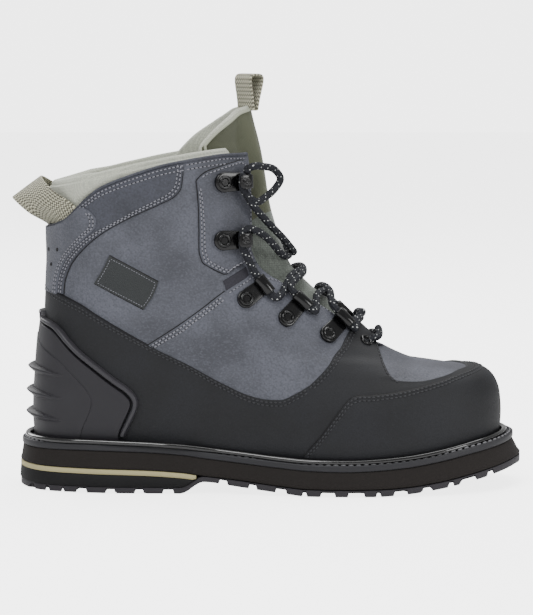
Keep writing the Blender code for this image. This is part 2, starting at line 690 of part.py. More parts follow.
def build_overlays():
    rand_low = OVERLAY_GAP
    over_rand = rand_low + OVERLAY + OVERLAY_GAP
    overlay("rand", on_welt(RAND), "rand", rand_low, OVERLAY)
    overlay("toe_cap", on_welt(TOE_CAP), "rand", over_rand, OVERLAY * 0.8, CAP_RINGS, high=False)
    plate = overlay("heel_counter", on_welt(COUNTER_PLATE, COUNTER_CLEAR), "counter", over_rand, COUNTER_WALL,
                    LOW_RINGS, high=False)
    rim = applied(thickened(mesh_object("heel_counter_rim",
                  *upper_surface(over_rand + COUNTER_WALL + COUNTER_RIM, LOW_RINGS, False),
                  "counter"), COUNTER_WALL + COUNTER_RIM))
    applied(boolean(rim, prism("rim_outer", on_welt(COUNTER, COUNTER_CLEAR), -BALL_WIDTH, BALL_WIDTH), "INTERSECT"))
    applied(boolean(rim, prism("rim_inner", grown(on_welt(COUNTER_PLATE, -6.0), GAP), -BALL_WIDTH * 1.1,
                               BALL_WIDTH * 1.1), "DIFFERENCE"))
    for number, rise in enumerate(FINS):
        fin = heel_fin("fin_%d" % (number + 1), rise, over_rand + COUNTER_WALL)
        boolean(plate, fin, "UNION")
    applied(plate)
    for word, side in PAIR:
        overlay("eyestay_" + word, EYESTAY, "leather", OVERLAY_GAP, OVERLAY, side=side)
    overlay("label_patch", LABEL, "label", OVERLAY_GAP, OVERLAY * 0.6, side=OUTER)


def grown(outline, extra):
    """The outline moved outward by extra millimetres."""
    flat = np.array([side_view(*point) for point in outline])
    before, after = np.roll(flat, 1, axis=0), np.roll(flat, -1, axis=0)
    along = after - before
    normal = np.stack([along[:, 1], -along[:, 0]], axis=1)
    normal /= np.linalg.norm(normal, axis=1, keepdims=True)
    area = np.sum(flat[:, 0] * after[:, 1] - after[:, 0] * flat[:, 1])
    moved = flat + normal * extra * (1 if area > 0 else -1)
    return [((x - HEEL_BACK) / LAST_LENGTH, (z - HEEL_SEAT) / UPPER_HEIGHT) for x, z in moved]


def heel_fin(name, rise, height):
    """Ledge round the back of the counter, tapering to nothing on both sides."""
    x, z = side_view(0.0, rise)
    ring = float(np.interp(z, form(np.zeros(40), np.linspace(0, 6, 40))[:, 2], np.linspace(0, 6, 40)))
    theta = np.linspace(-0.62, 0.62, 9)
    root = lifted(theta, ring, height)
    facing = outward(theta, ring)
    swell = np.cos(theta / 0.62 * math.pi / 2)[:, None]
    up = np.array((0.0, 0.0, 1.0))
    inner = -1.2 * facing
    loop = np.stack([
        root + inner + up * 2.6, root + facing * (0.1 + SPIKE * swell * 0.96) + up * 0.7,
        root + facing * (0.1 + SPIKE * swell) - up * 0.5, root + inner - up * 2.2,
    ], axis=1)
    faces = grid_faces(len(theta), 4, wrap=True)
    last = 4 * (len(theta) - 1)
    faces += [(3, 2, 1, 0), (last, last + 1, last + 2, last + 3)]
    item = turned_out(mesh_object(name, loop, faces, None, CUTTERS))
    item.hide_render = True
    item.display_type = "WIRE"
    return item


def build_cuff():
    """Padded cuff inside the shaft's mouth, standing above the leather at the heel."""
    across = np.linspace(-1, 1, 29)
    tuck = -(WALL + 4 * GAP)
    outer, inner = [], []
    for from_leather, from_top, rise, thin in CUFF_ROWS:
        end = throat_angle(11.0 + 0.15 * rise) - CUFF_SETBACK
        theta = across * end
        leather = hermite(LEATHER_TOP[:, 0], LEATHER_TOP[:, 1], np.abs(theta))
        top = hermite(CUFF_TOP[:, 0], CUFF_TOP[:, 1], np.abs(theta))
        bulge = tuck * (1 - smoothstep(0.1, 0.8, top - leather))
        blend = smoothstep(0.0, 1.0, rise)
        ring = (leather + from_leather) * (1 - blend) + (top + from_top) * blend
        height = tuck * (1 - blend) + (bulge - 1.2 * (from_top == 0)) * blend
        outer.append(lifted(theta, ring, height))
        inner.append(lifted(theta, ring, np.minimum(height, tuck) - thin * CUFF_WALL))
    closed_sheet("collar_cuff", np.array(outer), np.array(inner), "lining")


# Rows of the cuff: ring from the leather's edge, ring from the cuff's top, how far it has risen
# out of the shaft, and its share of CUFF_WALL
CUFF_ROWS = (
    (-1.6, 0.0, 0.0, 0.45), (-0.9, 0.0, 0.0, 0.9), (-0.1, 0.0, 0.0, 1.0),
    (0.0, -0.40, 0.55, 1.0), (0.0, -0.12, 1.0, 1.0), (0.0, 0.0, 1.0, 0.75),
)
CUFF_SETBACK = 0.14


def tongue_top(theta):
    """Ring of the tongue's top edge. theta runs through the toe line, which is at pi."""
    turn = theta - math.pi
    outer = hermite(TONGUE_TOP_OUTER[:, 0], TONGUE_TOP_OUTER[:, 1], np.abs(turn))
    inner = hermite(TONGUE_TOP_INNER[:, 0], TONGUE_TOP_INNER[:, 1], np.abs(turn))
    return np.where(turn > 0, outer, inner)


def tongue_height(theta, ring):
    """How far the tongue's face lies from the last's form: inside the wall and the cuff where they
    cover it, and out at the form along the throat."""
    edge = math.pi - throat_angle(ring)
    turn = np.abs(theta - math.pi)
    cuff = smoothstep(8.9, 9.9, ring) * (CUFF_WALL + 5 * GAP)
    under = -(WALL + 3 * GAP + cuff)
    open_share = 1 - smoothstep(0.25, 0.86, turn / np.maximum(edge, 0.05))
    open_share = np.where(ring < 7.55, open_share * smoothstep(7.15, 7.55, ring), open_share)
    above = 0.45 * smoothstep(12.2, 13.2, ring)
    return under * (1 - open_share) * (1 - above)


def build_tongue():
    theta = math.pi + np.concatenate([
        np.linspace(-1.34, -0.75, 3)[:-1], np.linspace(-0.75, 0.75, 11)[:-1], np.linspace(0.75, 1.02, 2),
    ])
    rows = 12
    share = np.linspace(0, 1, rows)[:, None]
    ring = TONGUE_LOW + (tongue_top(theta)[None] - TONGUE_LOW) * share
    theta = np.broadcast_to(theta, ring.shape)
    wing = smoothstep(0.3, 0.7, share)
    theta = math.pi + (theta - math.pi) * (0.55 + 0.45 * wing)
    height = tongue_height(theta, ring)
    thick = TONGUE_WALL * (0.55 + 0.45 * smoothstep(0.0, 0.4, share)) * np.ones_like(ring)
    closed_sheet("tongue", lifted(theta, ring, height), lifted(theta, ring, height - thick), "tongue")


TONGUE_LOW = 6.4


def strap(name, edges, look):
    """Webbing between two edges, each a list of points, thickened inward by WEBBING."""
    rows = np.array(edges)
    item = mesh_object(name, rows, grid_faces(*rows.shape[:2]), look)
    return thickened(item, WEBBING, 0.0)


# Heel loop: its lower edge, middle and upper edge, from the leather to the fold. The first two
# points lie on the leather, and the others state the half-width y, as a share of WEBBING_SPAN.
HEEL_LOOP = (
    ((0.034, 0.716, None), (0.022, 0.743, None), (-0.016, 0.790, 0.44), (-0.055, 0.838, 0.0)),
    ((0.066, 0.748, None), (0.054, 0.776, None), (0.010, 0.828, 0.70), (-0.025, 0.874, 0.0)),
    ((0.099, 0.781, None), (0.087, 0.808, None), (0.038, 0.866, 0.86), (0.005, 0.909, 0.0)),
)
WEBBING_SPAN = 29.0
STRAP_SEAT = OVERLAY_GAP + WEBBING / 2 + 0.9


def arch(points, count):
    """Curve through points from the outer side over the fold to the inner side."""
    half = []
    for at, rise, share in points:
        if share is None:
            half.append(seat(at, rise, INNER, STRAP_SEAT)[0])
        else:
            x, z = side_view(at, rise)
            half.append((x, share * WEBBING_SPAN, z))
    half = np.array(half)
    path = np.concatenate([half * (1, -1, 1), half[-2::-1]])
    reach = np.concatenate([[0], np.cumsum(np.linalg.norm(np.diff(path, axis=0), axis=1))])
    return smooth_path(path, reach, np.linspace(0, reach[-1], count))


def smooth_path(path, reach, at):
    """Catmull-Rom curve through path, read at distances at."""
    tangent = np.gradient(path, reach, axis=0)
    low = np.clip(np.searchsorted(reach, at, side="right") - 1, 0, len(reach) - 2)
    width = (reach[low + 1] - reach[low])[:, None]
    t = ((at - reach[low])[:, None]) / width
    return (
        path[low] * (1 + 2 * t) * (1 - t) ** 2 + path[low + 1] * t * t * (3 - 2 * t)
        + width * (t * (1 - t) ** 2 * tangent[low] - t * t * (1 - t) * tangent[low + 1])
    )


def build_loops():
    strap("heel_loop", [arch(edge, 19) for edge in HEEL_LOOP], "webbing")
    turn = math.radians(TONGUE_LOOP_TURN)
    across = np.array((math.sin(turn), math.cos(turn), 0.0))
    facing = np.array((math.cos(turn), -math.sin(turn), 0.0))
    foot = form(np.array(math.pi), np.array(float(tongue_top(np.array(math.pi)))))
    spine = []
    for step in np.linspace(-1, 1, 15):
        share = abs(step)
        spread = TONGUE_LOOP_SPREAD * math.sin(math.pi * share ** 0.85) + TONGUE_WALL * 0.35 * share ** 3
        rise = TONGUE_LOOP_REACH * (1 - share ** 2.4) + GAP
        away = np.sign(step) * spread + LOOP_LEAN * rise - TONGUE_WALL / 2
        spine.append(foot + facing * away + np.array((0, 0, rise)))
    spine = np.array(spine)
    width = across * TONGUE_LOOP_WIDTH / 2
    strap("tongue_loop", [spine - width, spine, spine + width], "webbing")


TONGUE_LOOP_TURN = -38.0
LOOP_LEAN = 0.05
TONGUE_LOOP_SPREAD = 4.6


def seat(at, rise, side, height):
    """Place on the side of the upper: position, its facing, and the way forward along it."""
    x, z = side_view(at, rise)
    theta, ring = locate(x, z, side)
    facing = outward(np.array(theta), np.array(ring))
    place = form(np.array(theta), np.array(ring)) + facing * height
    return place, facing


def frame_at(place, facing, toward):
    """Matrix with +Z along facing and +X toward a direction, at place in millimetres."""
    z = Vector(facing).normalized()
    x = Vector(toward)
    x = (x - z * x.dot(z)).normalized()
    y = z.cross(x)
    matrix = Matrix((x, y, z)).transposed().to_4x4()
    matrix.translation = Vector(place) * MM
    return matrix


def disc(work, radius, thickness, matrix, sides=10):
    bmesh.ops.create_cone(work, cap_ends=True, segments=sides, radius1=radius * MM, radius2=radius * MM,
                          depth=thickness * MM, matrix=matrix @ Matrix.Translation((0, 0, thickness * MM / 2)))


def stadium(work, length, radius, thickness, matrix, end_radius=None, sides=5):
    """Plate with a round end about the origin, running length along +X to its other end."""
    outline = []
    for k in range(sides + 1):
        angle = math.pi / 2 + math.pi * k / sides
        outline.append((radius * math.cos(angle), radius * math.sin(angle)))
    other = end_radius or radius
    for k in range(sides + 1):
        angle = -math.pi / 2 + math.pi * k / sides
        outline.append((length + other * 0.35 * math.cos(angle), other * math.sin(angle)))
    low = [work.verts.new(matrix @ Vector((x * MM, y * MM, 0))) for x, y in outline]
    high = [work.verts.new(matrix @ Vector((x * MM, y * MM, thickness * MM))) for x, y in outline]
    work.faces.new(low[::-1])
    work.faces.new(high)
    for k in range(len(outline)):
        beside = (k + 1) % len(outline)
        work.faces.new((low[k], low[beside], high[beside], high[k]))


def finished(name, work, look, collection=None):
    bmesh.ops.recalc_face_normals(work, faces=work.faces)
    mesh = bpy.data.meshes.new(name)
    work.to_mesh(mesh)
    work.free()
    item = bpy.data.objects.new(name, mesh)
    (collection or BOOT).objects.link(item)
    if look:
        mesh.materials.append(LOOKS[look])
    mesh.shade_smooth()
    mesh.set_sharp_from_angle(angle=math.radians(35))
    return item


def joined(name, items, look):
    """One solid from overlapping ones, by Boolean union."""
    body = items[0]
    for other in items[1:]:
        CUTTERS.objects.link(other)
        BOOT.objects.unlink(other)
        other.hide_render = True
        other.display_type = "WIRE"
        boolean(body, other, "UNION")
    body.name = name
    return applied(body)


TUBE_SIDES = 8
METAL_SEAT = 0.8
GUIDE_SEAT = 1.7
PANEL_SEAT = OVERLAY_GAP + OVERLAY + METAL_SEAT
HOOK_REACH = 14.5
LIP_HALF = 4.2


def hook_frame(at, rise, side):
    place, facing = seat(at, rise, side, PANEL_SEAT)
    ahead, _ = seat(at + HOOK_REACH / LAST_LENGTH, rise, side, PANEL_SEAT)
    return frame_at(place, facing, ahead - place)


def build_hook(name, at, rise, side):
    """Lace hook: a plate with its rivet, and a lip over a post at its front end."""
    matrix = hook_frame(at, rise, side)
    work = bmesh.new()
    stadium(work, HOOK_REACH, PLATE_RADIUS * 0.95, PLATE, matrix, PLATE_RADIUS * 0.8)
    plate = finished(name, work, "metal")
    work = bmesh.new()
    profile_points = (
        (HOOK_REACH - 1.6, 0.4), (HOOK_REACH + 1.4, 0.4), (HOOK_REACH + 2.6, 3.0),
        (HOOK_REACH + 1.8, 6.2), (HOOK_REACH - 1.0, 7.6), (HOOK_REACH - 7.5, 7.4),
        (HOOK_REACH - 7.5, 6.2), (HOOK_REACH - 1.6, 6.2), (HOOK_REACH - 0.2, 4.6), (HOOK_REACH, 3.0),
    )
    half = LIP_HALF
    low = [work.verts.new(matrix @ (Vector((x, -half, z)) * MM)) for x, z in profile_points]
    high = [work.verts.new(matrix @ (Vector((x, half, z)) * MM)) for x, z in profile_points]
    count = len(profile_points)
    work.faces.new(low)
    work.faces.new(high[::-1])
    for k in range(count):
        beside = (k + 1) % count
        work.faces.new((low[beside], low[k], high[k], high[beside]))
    lip = finished(name + "_lip", work, "metal")
    work = bmesh.new()
    disc(work, RIVET_RADIUS, PLATE + 0.9, matrix)
    rivet = finished(name + "_rivet", work, "metal")
    return joined(name, [plate, lip, rivet], "metal")


def tube_frame(rivet, tube, side):
    """Place of a guide: its rivet, its facing, the middle of its tube, and the tube's direction, up
    along the throat's edge."""
    place, facing = seat(*rivet, side, GUIDE_SEAT)
    over, beyond = seat(*tube, side, GUIDE_SEAT)
    facing = facing + beyond
    facing /= np.linalg.norm(facing)
    toward = over - place
    middle = over + facing * (TUBE_BORE + TUBE_WALL - 0.5 - toward @ facing)
    along = np.cross(facing, toward)
    along /= np.linalg.norm(along)
    if along[2] < 0:
        along = -along
    return place, facing, middle, along


def build_guide(name, rivet, tube, side):
    """Lace guide: a riveted plate whose edge is rolled into a tube along the throat."""
    place, facing, middle, along = tube_frame(rivet, tube, side)
    toward = middle - place
    matrix = frame_at(place, facing, toward)
    work = bmesh.new()
    stadium(work, float(np.linalg.norm(toward)) - TUBE_BORE * 0.6, PLATE_RADIUS * 0.85, PLATE, matrix,
            TUBE_LENGTH * 0.42)
    plate = finished(name, work, "metal")
    work = bmesh.new()
    direction = Vector(along).to_track_quat("Z", "Y").to_matrix().to_4x4()
    direction.translation = Vector(middle) * MM
    radius = (TUBE_BORE + TUBE_WALL) * MM
    bmesh.ops.create_cone(work, cap_ends=True, segments=TUBE_SIDES, radius1=radius, radius2=radius,
                          depth=TUBE_LENGTH * MM, matrix=direction)
    tube_item = finished(name + "_tube", work, "metal")
    work = bmesh.new()
    disc(work, RIVET_RADIUS, PLATE + 0.9, matrix)
    rivet_item = finished(name + "_rivet", work, "metal")
    body = joined(name, [plate, tube_item, rivet_item], "metal")
    work = bmesh.new()
    bmesh.ops.create_cone(work, cap_ends=True, segments=TUBE_SIDES, radius1=TUBE_BORE * MM,
                          radius2=TUBE_BORE * MM, depth=TUBE_LENGTH * 2 * MM, matrix=direction)
    bore = cutter_object(name + "_bore", work)
    return applied(boolean(body, bore, "DIFFERENCE"))


def build_eyelet(name, side):
    place, facing = seat(*EYELET, side, PANEL_SEAT)
    matrix = frame_at(place, facing, (1, 0, 0))
    work = bmesh.new()
    disc(work, RIVET_RADIUS, PLATE * 0.9, matrix)
    body = finished(name, work, "metal")
    bore = bmesh.new()
    bmesh.ops.create_cone(bore, cap_ends=True, segments=12, radius1=EYELET_BORE * MM,
                          radius2=EYELET_BORE * MM, depth=12 * MM, matrix=matrix)
    return applied(boolean(body, cutter_object(name + "_bore", bore), "DIFFERENCE"))


def build_metal():
    for word, side in PAIR:
        for number, spot in enumerate(HOOKS):
            build_hook("lace_hook_%s_%d" % (word, number + 1), *spot, side)
        for number, (rivet, tube) in enumerate(GUIDES):
            build_guide("lace_guide_%s_%d" % (word, number + 1), rivet, tube, side)
        build_eyelet("lace_eyelet_" + word, side)


def cord(name, points, radius, look, cyclic=False, resolution=1):
    """Round cord through points in millimetres, as a mesh with welded caps."""
    curve = bpy.data.curves.new(name, "CURVE")
    curve.dimensions = "3D"
    curve.bevel_depth = radius * MM
    curve.bevel_resolution = resolution
    curve.use_fill_caps = not cyclic
    line = curve.splines.new("POLY")
    line.points.add(len(points) - 1)
    line.points.foreach_set("co", np.column_stack([points * MM, np.ones(len(points))]).ravel())
    line.use_cyclic_u = cyclic
    item = bpy.data.objects.new(name, curve)
    BOOT.objects.link(item)
    bpy.context.view_layer.update()
    mesh = bpy.data.meshes.new_from_object(item.evaluated_get(bpy.context.evaluated_depsgraph_get()))
    bpy.data.objects.remove(item, do_unlink=True)
    solid = bpy.data.objects.new(name, mesh)
    BOOT.objects.link(solid)
    mesh.materials.clear()
    mesh.materials.append(LOOKS[look])
    mesh.shade_smooth()
    mesh.set_sharp_from_angle(angle=math.radians(50))
    return turned_out(solid)


def build_bead():
    theta = ring_angles()
    over = OVERLAY_GAP * 2 + OVERLAY + GAP + WELT_BEAD / 2
    behind = over + OVERLAY_GAP + COUNTER_WALL + COUNTER_RIM + GAP
    away = over + (OVERLAY * 0.8 + GAP) * smoothstep(1.45, 1.65, np.abs(theta))
    away = away + (behind - over) * (1 - smoothstep(1.1, 1.35, np.abs(theta)))
    place = form(theta, 0.0)
    facing = outward(theta, 0.3) * (1, 1, 0)
    facing /= np.linalg.norm(facing, axis=-1, keepdims=True)
    place = place + facing * away[:, None]
    place[:, 2] = profile(WELT_TOP, place[:, 0]) + GAP + WELT_BEAD / 2
    cord("welt_bead", place, WELT_BEAD / 2, "bead", cyclic=True)


def path_through(points, count):
    points = np.array(points, float)
    reach = np.concatenate([[0], np.cumsum(np.linalg.norm(np.diff(points, axis=0), axis=1))])
    return smooth_path(points, reach, np.linspace(0, reach[-1], count))


def path_with_ends(points, count):
    """As path_through, with the short straight at each end kept."""
    points = np.array(points, float)
    reach = np.concatenate([[0], np.cumsum(np.linalg.norm(np.diff(points, axis=0), axis=1))])
    inner = np.linspace(reach[1], reach[-2], count - 2)
    return smooth_path(points, reach, np.concatenate([[0], inner, reach[-1:]]))


def over_form(turn, ring, height):
    """Point over the throat: turn is the angle from the toe line, more than 0 on the outer side."""
    return lifted(math.pi + turn, ring, height)


LACE_LIFT = LACE / 2 + 1.5
TUBE_CLEAR = TUBE_LENGTH / 2 + 0.8


def mouth(point, out, spot, side):
    """End of a strand: its point, its way out, and where it lies on the form by its side view."""
    theta, ring = locate(spot[0], spot[2], side)
    return point, out, side * (abs(theta) - math.pi), ring


def lace_ends(side):
    """The lower and the upper mouth of each guide, from the toe up."""
    ends = []
    for rivet, tube in GUIDES[::-1]:
        _, _, middle, along = tube_frame(rivet, tube, side)
        root = seat(*tube, side, 0.0)[0]
        ends.append(tuple(
            mouth(middle + way * along * TUBE_CLEAR, way * along, root + way * along * TUBE_CLEAR, side)
            for way in (-1, 1)
        ))
    return ends


def hook_point(spot, side, ahead, above, height):
    """Point by a hook: ahead of its rivet, above it along the plate, and height off its seat."""
    point = hook_frame(*spot, side) @ (Vector((ahead, -side * above, height)) * MM)
    return np.array(point) / MM


# Rings at which the lace's crossings pass over the toe line, from the throat's base up
CROSSINGS = (7.95, 8.98, 9.68, 10.95)


def strand(name, start, end, middle, lift):
    """Lace from a mouth on one side over the tongue to a mouth on the other side, passing the toe
    line at the ring middle."""
    here, out, turn_0, ring_0 = start
    there, back, turn_1, ring_1 = end
    over = []
    for share in (0.3, 0.5, 0.7):
        turn = turn_0 * (1 - share) + turn_1 * share
        ring = ring_0 * (1 - share) + ring_1 * share
        ring += 4 * share * (1 - share) * (middle - (ring_0 + ring_1) / 2)
        over.append(over_form(turn, ring, lift))
    points = [here, here + out * 3.0] + over + [there + back * 3.0, there]
    return cord(name, path_with_ends(points, 10), LACE / 2, "lace")


def crossing(name, lower, upper, middle, lift=LACE_LIFT):
    """Two strands that cross over the tongue. lower and upper hold a mouth for each side."""
    strands = [
        strand("%s_strand_%d" % (name, number), lower[number], upper[1 - number], middle, lift)
        for number in (0, 1)
    ]
    return joined(name, strands, "lace")


def build_laces():
    mouths = [[lace_ends(side)[k] for _, side in PAIR] for k in range(3)]
    eyes = [seat(*EYELET, side, PANEL_SEAT + LACE / 2 + 2.4)[0] for _, side in PAIR]
    low = []
    for _, side in PAIR:
        place, _ = seat(EYELET[0] - 0.020, EYELET[1] + 0.052, side, PANEL_SEAT + LACE / 2 + 1.8)
        low.append(mouth(place, np.array((-0.2, -0.75 * side, 0.6)), place, side))
    over = over_form(0.0, 7.42, LACE_LIFT + OVERLAY + 1.2)
    cord("lace_bar", path_through([eyes[0], over, eyes[1]], 9), LACE / 2, "lace")
    lower, upper = 0, 1
    crossing("lace_crossing_1", low, [m[lower] for m in mouths[0]], CROSSINGS[0],
             LACE_LIFT + 2.2)
    for k in (1, 2):
        crossing("lace_crossing_%d" % (k + 1), [m[upper] for m in mouths[k - 1]],
                 [m[lower] for m in mouths[k]], CROSSINGS[k])
    post = HOOK_REACH + 2.6 + HOOK_CLEAR
    under = LIP_HALF + HOOK_CLEAR
    for number, (word, side) in enumerate(PAIR):
        start, out = mouths[2][number][upper][:2]
        stop = hook_point(HOOKS[1], side, HOOK_REACH - 1.0, -under, 4.0)
        below = stop + hook_way(HOOKS[1], side, 0, -1) * 2.4
        cord("lace_riser_" + word, path_with_ends([start, start + out * 2.4, below, stop], 6), LACE / 2,
             "lace")
    fronts, unders = [], []
    for _, side in PAIR:
        point = hook_point(HOOKS[1], side, post, 0.0, 3.6)
        fronts.append(mouth(point, hook_way(HOOKS[1], side, 1, 0), hook_point(HOOKS[1], side, post, 0, 0), side))
        point = hook_point(HOOKS[0], side, HOOK_REACH - 1.0, -under, 4.0)
        unders.append(mouth(point, hook_way(HOOKS[0], side, 0.3, -1), hook_point(
            HOOKS[0], side, post, -under - 6.0, 0), side))
    crossing("lace_crossing_4", fronts, unders, CROSSINGS[3], LACE_LIFT + 0.6)
    ahead = HOOK_REACH - 1.0
    first = hook_point(HOOKS[0], OUTER, ahead, under, 4.0)
    last = hook_point(HOOKS[0], OUTER, post, 0.0, 3.6)
    points = [first, first + hook_way(HOOKS[0], OUTER, 0.3, 1) * 2.4]
    points += [seat_loop(point) for point in LACE_LOOP]
    points += [last + hook_way(HOOKS[0], OUTER, 1, 0) * 2.4, last]
    cord("lace_loop", path_with_ends(points, 20), LACE / 2, "lace")


HOOK_CLEAR = 1.3


def hook_way(spot, side, ahead, above):
    way = np.array(hook_frame(*spot, side).to_3x3() @ Vector((ahead, -side * above, 0)))
    return way / np.linalg.norm(way)


# The loop in front of the top hook, as x and rise on the side view and y in LACE diameters
LACE_LOOP = (
    (0.462, 0.952, -7.6), (0.490, 0.952, -6.0), (0.512, 0.940, -4.8), (0.525, 0.905, -4.2),
    (0.514, 0.872, -4.6), (0.496, 0.850, -5.4), (0.478, 0.858, -6.8),
)


def seat_loop(point):
    x, z = side_view(point[0], point[1])
    return np.array((x, point[2] * LACE, z))


build_sole()
build_insole()
build_upper()
build_overlays()
build_cuff()
build_tongue()
build_loops()
build_metal()
build_bead()
build_laces()
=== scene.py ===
"""Looks of a wading boot for the right foot, standing empty on its sole.

The boot's frame is the solids' own: +X to the toe, +Y to the inner side of the foot and +Z up, with
the origin on the floor under the middle of the heel. Shapes are worked out in millimetres and
stored in metres. Each panel of the upper is a patch of one function, form(), which gives the outer
face of the lasted leather. A point on it is a pair: theta, the angle round the boot from the heel
(0) to the toe (pi, negative on the outer side), and ring, the row of RINGS from the welt up.
"""

import math

import bpy
import numpy as np
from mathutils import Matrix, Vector


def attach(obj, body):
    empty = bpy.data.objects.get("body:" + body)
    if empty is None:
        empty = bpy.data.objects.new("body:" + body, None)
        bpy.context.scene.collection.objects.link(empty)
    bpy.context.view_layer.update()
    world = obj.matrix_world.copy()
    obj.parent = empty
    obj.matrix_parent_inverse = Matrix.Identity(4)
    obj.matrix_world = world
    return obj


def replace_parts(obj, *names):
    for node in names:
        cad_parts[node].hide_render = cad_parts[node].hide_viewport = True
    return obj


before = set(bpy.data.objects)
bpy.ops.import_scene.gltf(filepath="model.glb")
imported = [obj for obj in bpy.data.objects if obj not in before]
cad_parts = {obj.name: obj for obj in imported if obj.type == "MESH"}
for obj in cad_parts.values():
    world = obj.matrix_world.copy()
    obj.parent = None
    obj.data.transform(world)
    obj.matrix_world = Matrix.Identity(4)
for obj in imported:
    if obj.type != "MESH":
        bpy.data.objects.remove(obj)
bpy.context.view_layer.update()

MM = 0.001
PI = math.pi
OUTER, INNER = -1.0, 1.0
SIDES = (("outer", OUTER), ("inner", INNER))

# The last, the upper and the sole, as the solids have them
HEEL_BACK, LAST_LENGTH, BALL_WIDTH, UPPER_HEIGHT = -27.0, 286.0, 100.0, 178.0
SOLE_BACK, SOLE_LENGTH, SOLE_WIDTH, HEEL_SEAT = -38.4, 308.0, 109.0, 30.0
TOE_SWING, WALL, GAP, WELT, LUG_DEPTH = 5.0, 2.4, 0.3, 4.3, 2.5
LACE = 4.6
OVERLAY, OVERLAY_GAP, COUNTER_WALL, COUNTER_RIM, CUFF_WALL = 1.5, 0.75, 2.4, 1.0, 5.0
WEBBING_SPAN, TONGUE_LOOP_WIDTH, TONGUE_LOOP_REACH, TONGUE_LOOP_TURN = 29.0, 15.0, 20.0, -38.0

RING_NAMES = (
    "back", "front", "rise_back", "rise_front", "bow", "hug", "heel",
    "waist_out", "waist_in", "ball_out", "ball_in", "toe_out", "toe_in", "heel_end", "toe_end",
)
RINGS = np.array((
    (0.003, 0.997, 0.000, 0.000, 0.000, 1.00, 0.310, 0.380, 0.300, 0.475, 0.445, 0.450, 0.410, 0.30, 0.39),
    (0.000, 1.000, 0.084, 0.074, 0.000, 0.95, 0.330, 0.400, 0.330, 0.500, 0.470, 0.470, 0.430, 0.31, 0.41),
    (0.001, 0.997, 0.157, 0.143, 0.000, 0.80, 0.335, 0.405, 0.350, 0.490, 0.465, 0.460, 0.420, 0.31, 0.41),
    (0.004, 0.984, 0.225, 0.198, 0.000, 0.60, 0.340, 0.400, 0.360, 0.460, 0.445, 0.425, 0.395, 0.31, 0.38),
    (0.007, 0.958, 0.292, 0.229, 0.000, 0.40, 0.345, 0.395, 0.370, 0.430, 0.420, 0.375, 0.360, 0.31, 0.33),
    (0.011, 0.906, 0.360, 0.249, 0.000, 0.20, 0.350, 0.390, 0.375, 0.410, 0.405, 0.325, 0.320, 0.31, 0.27),
    (0.016, 0.836, 0.427, 0.264, 0.000, 0.10, 0.350, 0.385, 0.375, 0.395, 0.395, 0.310, 0.310, 0.30, 0.22),
    (0.018, 0.752, 0.494, 0.315, 0.000, 0.00, 0.350, 0.385, 0.380, 0.390, 0.390, 0.305, 0.310, 0.29, 0.20),
    (0.020, 0.689, 0.562, 0.399, 0.000, 0.00, 0.345, 0.385, 0.385, 0.385, 0.385, 0.300, 0.305, 0.28, 0.20),
    (0.022, 0.612, 0.635, 0.500, 0.000, 0.00, 0.340, 0.390, 0.390, 0.385, 0.385, 0.300, 0.305, 0.27, 0.20),
    (0.021, 0.542, 0.713, 0.609, 0.000, 0.00, 0.335, 0.400, 0.400, 0.390, 0.390, 0.295, 0.300, 0.26, 0.20),
    (0.021, 0.508, 0.798, 0.775, 0.005, 0.00, 0.330, 0.410, 0.410, 0.405, 0.405, 0.310, 0.310, 0.26, 0.22),
    (0.024, 0.481, 0.882, 1.010, 0.014, 0.00, 0.330, 0.420, 0.420, 0.415, 0.415, 0.320, 0.320, 0.26, 0.23),
    (0.026, 0.466, 0.990, 1.110, 0.014, 0.00, 0.320, 0.415, 0.415, 0.410, 0.410, 0.315, 0.315, 0.26, 0.23),
    (0.030, 0.454, 1.080, 1.200, 0.014, 0.00, 0.310, 0.400, 0.400, 0.390, 0.390, 0.300, 0.300, 0.26, 0.23),
))
RING = {name: RINGS[:, column] for column, name in enumerate(RING_NAMES)}
RING_NUMBERS = np.arange(len(RINGS), dtype=float)
STATIONS = np.array((0.0, 0.13, 0.38, 0.64, 0.84, 1.0))
PROFILE = np.array((
    # at, welt top, foam low, tread top, ground
    (0.000, 1.000, 0.520, 0.150, 0.020), (0.040, 1.000, 0.512, 0.130, 0.000),
    (0.130, 1.000, 0.500, 0.130, 0.000), (0.240, 0.980, 0.480, 0.130, 0.000),
    (0.325, 0.925, 0.430, 0.130, 0.000), (0.372, 0.860, 0.365, 0.355, 0.245),
    (0.440, 0.780, 0.293, 0.283, 0.160), (0.530, 0.690, 0.187, 0.177, 0.050),
    (0.580, 0.650, 0.144, 0.134, 0.000), (0.660, 0.635, 0.140, 0.130, 0.000),
    (0.710, 0.655, 0.144, 0.134, 0.000), (0.775, 0.710, 0.180, 0.170, 0.040),
    (0.840, 0.810, 0.267, 0.257, 0.125), (0.905, 0.940, 0.400, 0.390, 0.250),
    (0.960, 1.035, 0.520, 0.510, 0.370), (1.000, 1.100, 0.610, 0.600, 0.460),
))
WELT_TOP, FOAM_LOW, TREAD_TOP, GROUND = 1, 2, 3, 4
SOLE_OUTER = (0.36, 0.355, 0.405, 0.515, 0.475, 0.43)
SOLE_INNER = (0.36, 0.355, 0.335, 0.475, 0.445, 0.43)
THROAT = np.array((
    (7.0, 0.34), (7.6, 0.36), (8.4, 0.42), (8.9, 0.53), (9.4, 0.66), (9.9, 0.74), (10.3, 0.74),
    (10.7, 0.67), (11.3, 0.57), (11.8, 0.50), (12.5, 0.50),
))
LEATHER_TOP = np.array((
    (0.0, 10.30), (0.27, 10.36), (0.55, 10.60), (0.90, 11.36), (1.05, 11.60), (1.36, 11.80),
    (1.75, 11.93), (2.25, 11.96), (2.55, 11.92), (PI, 11.90),
))
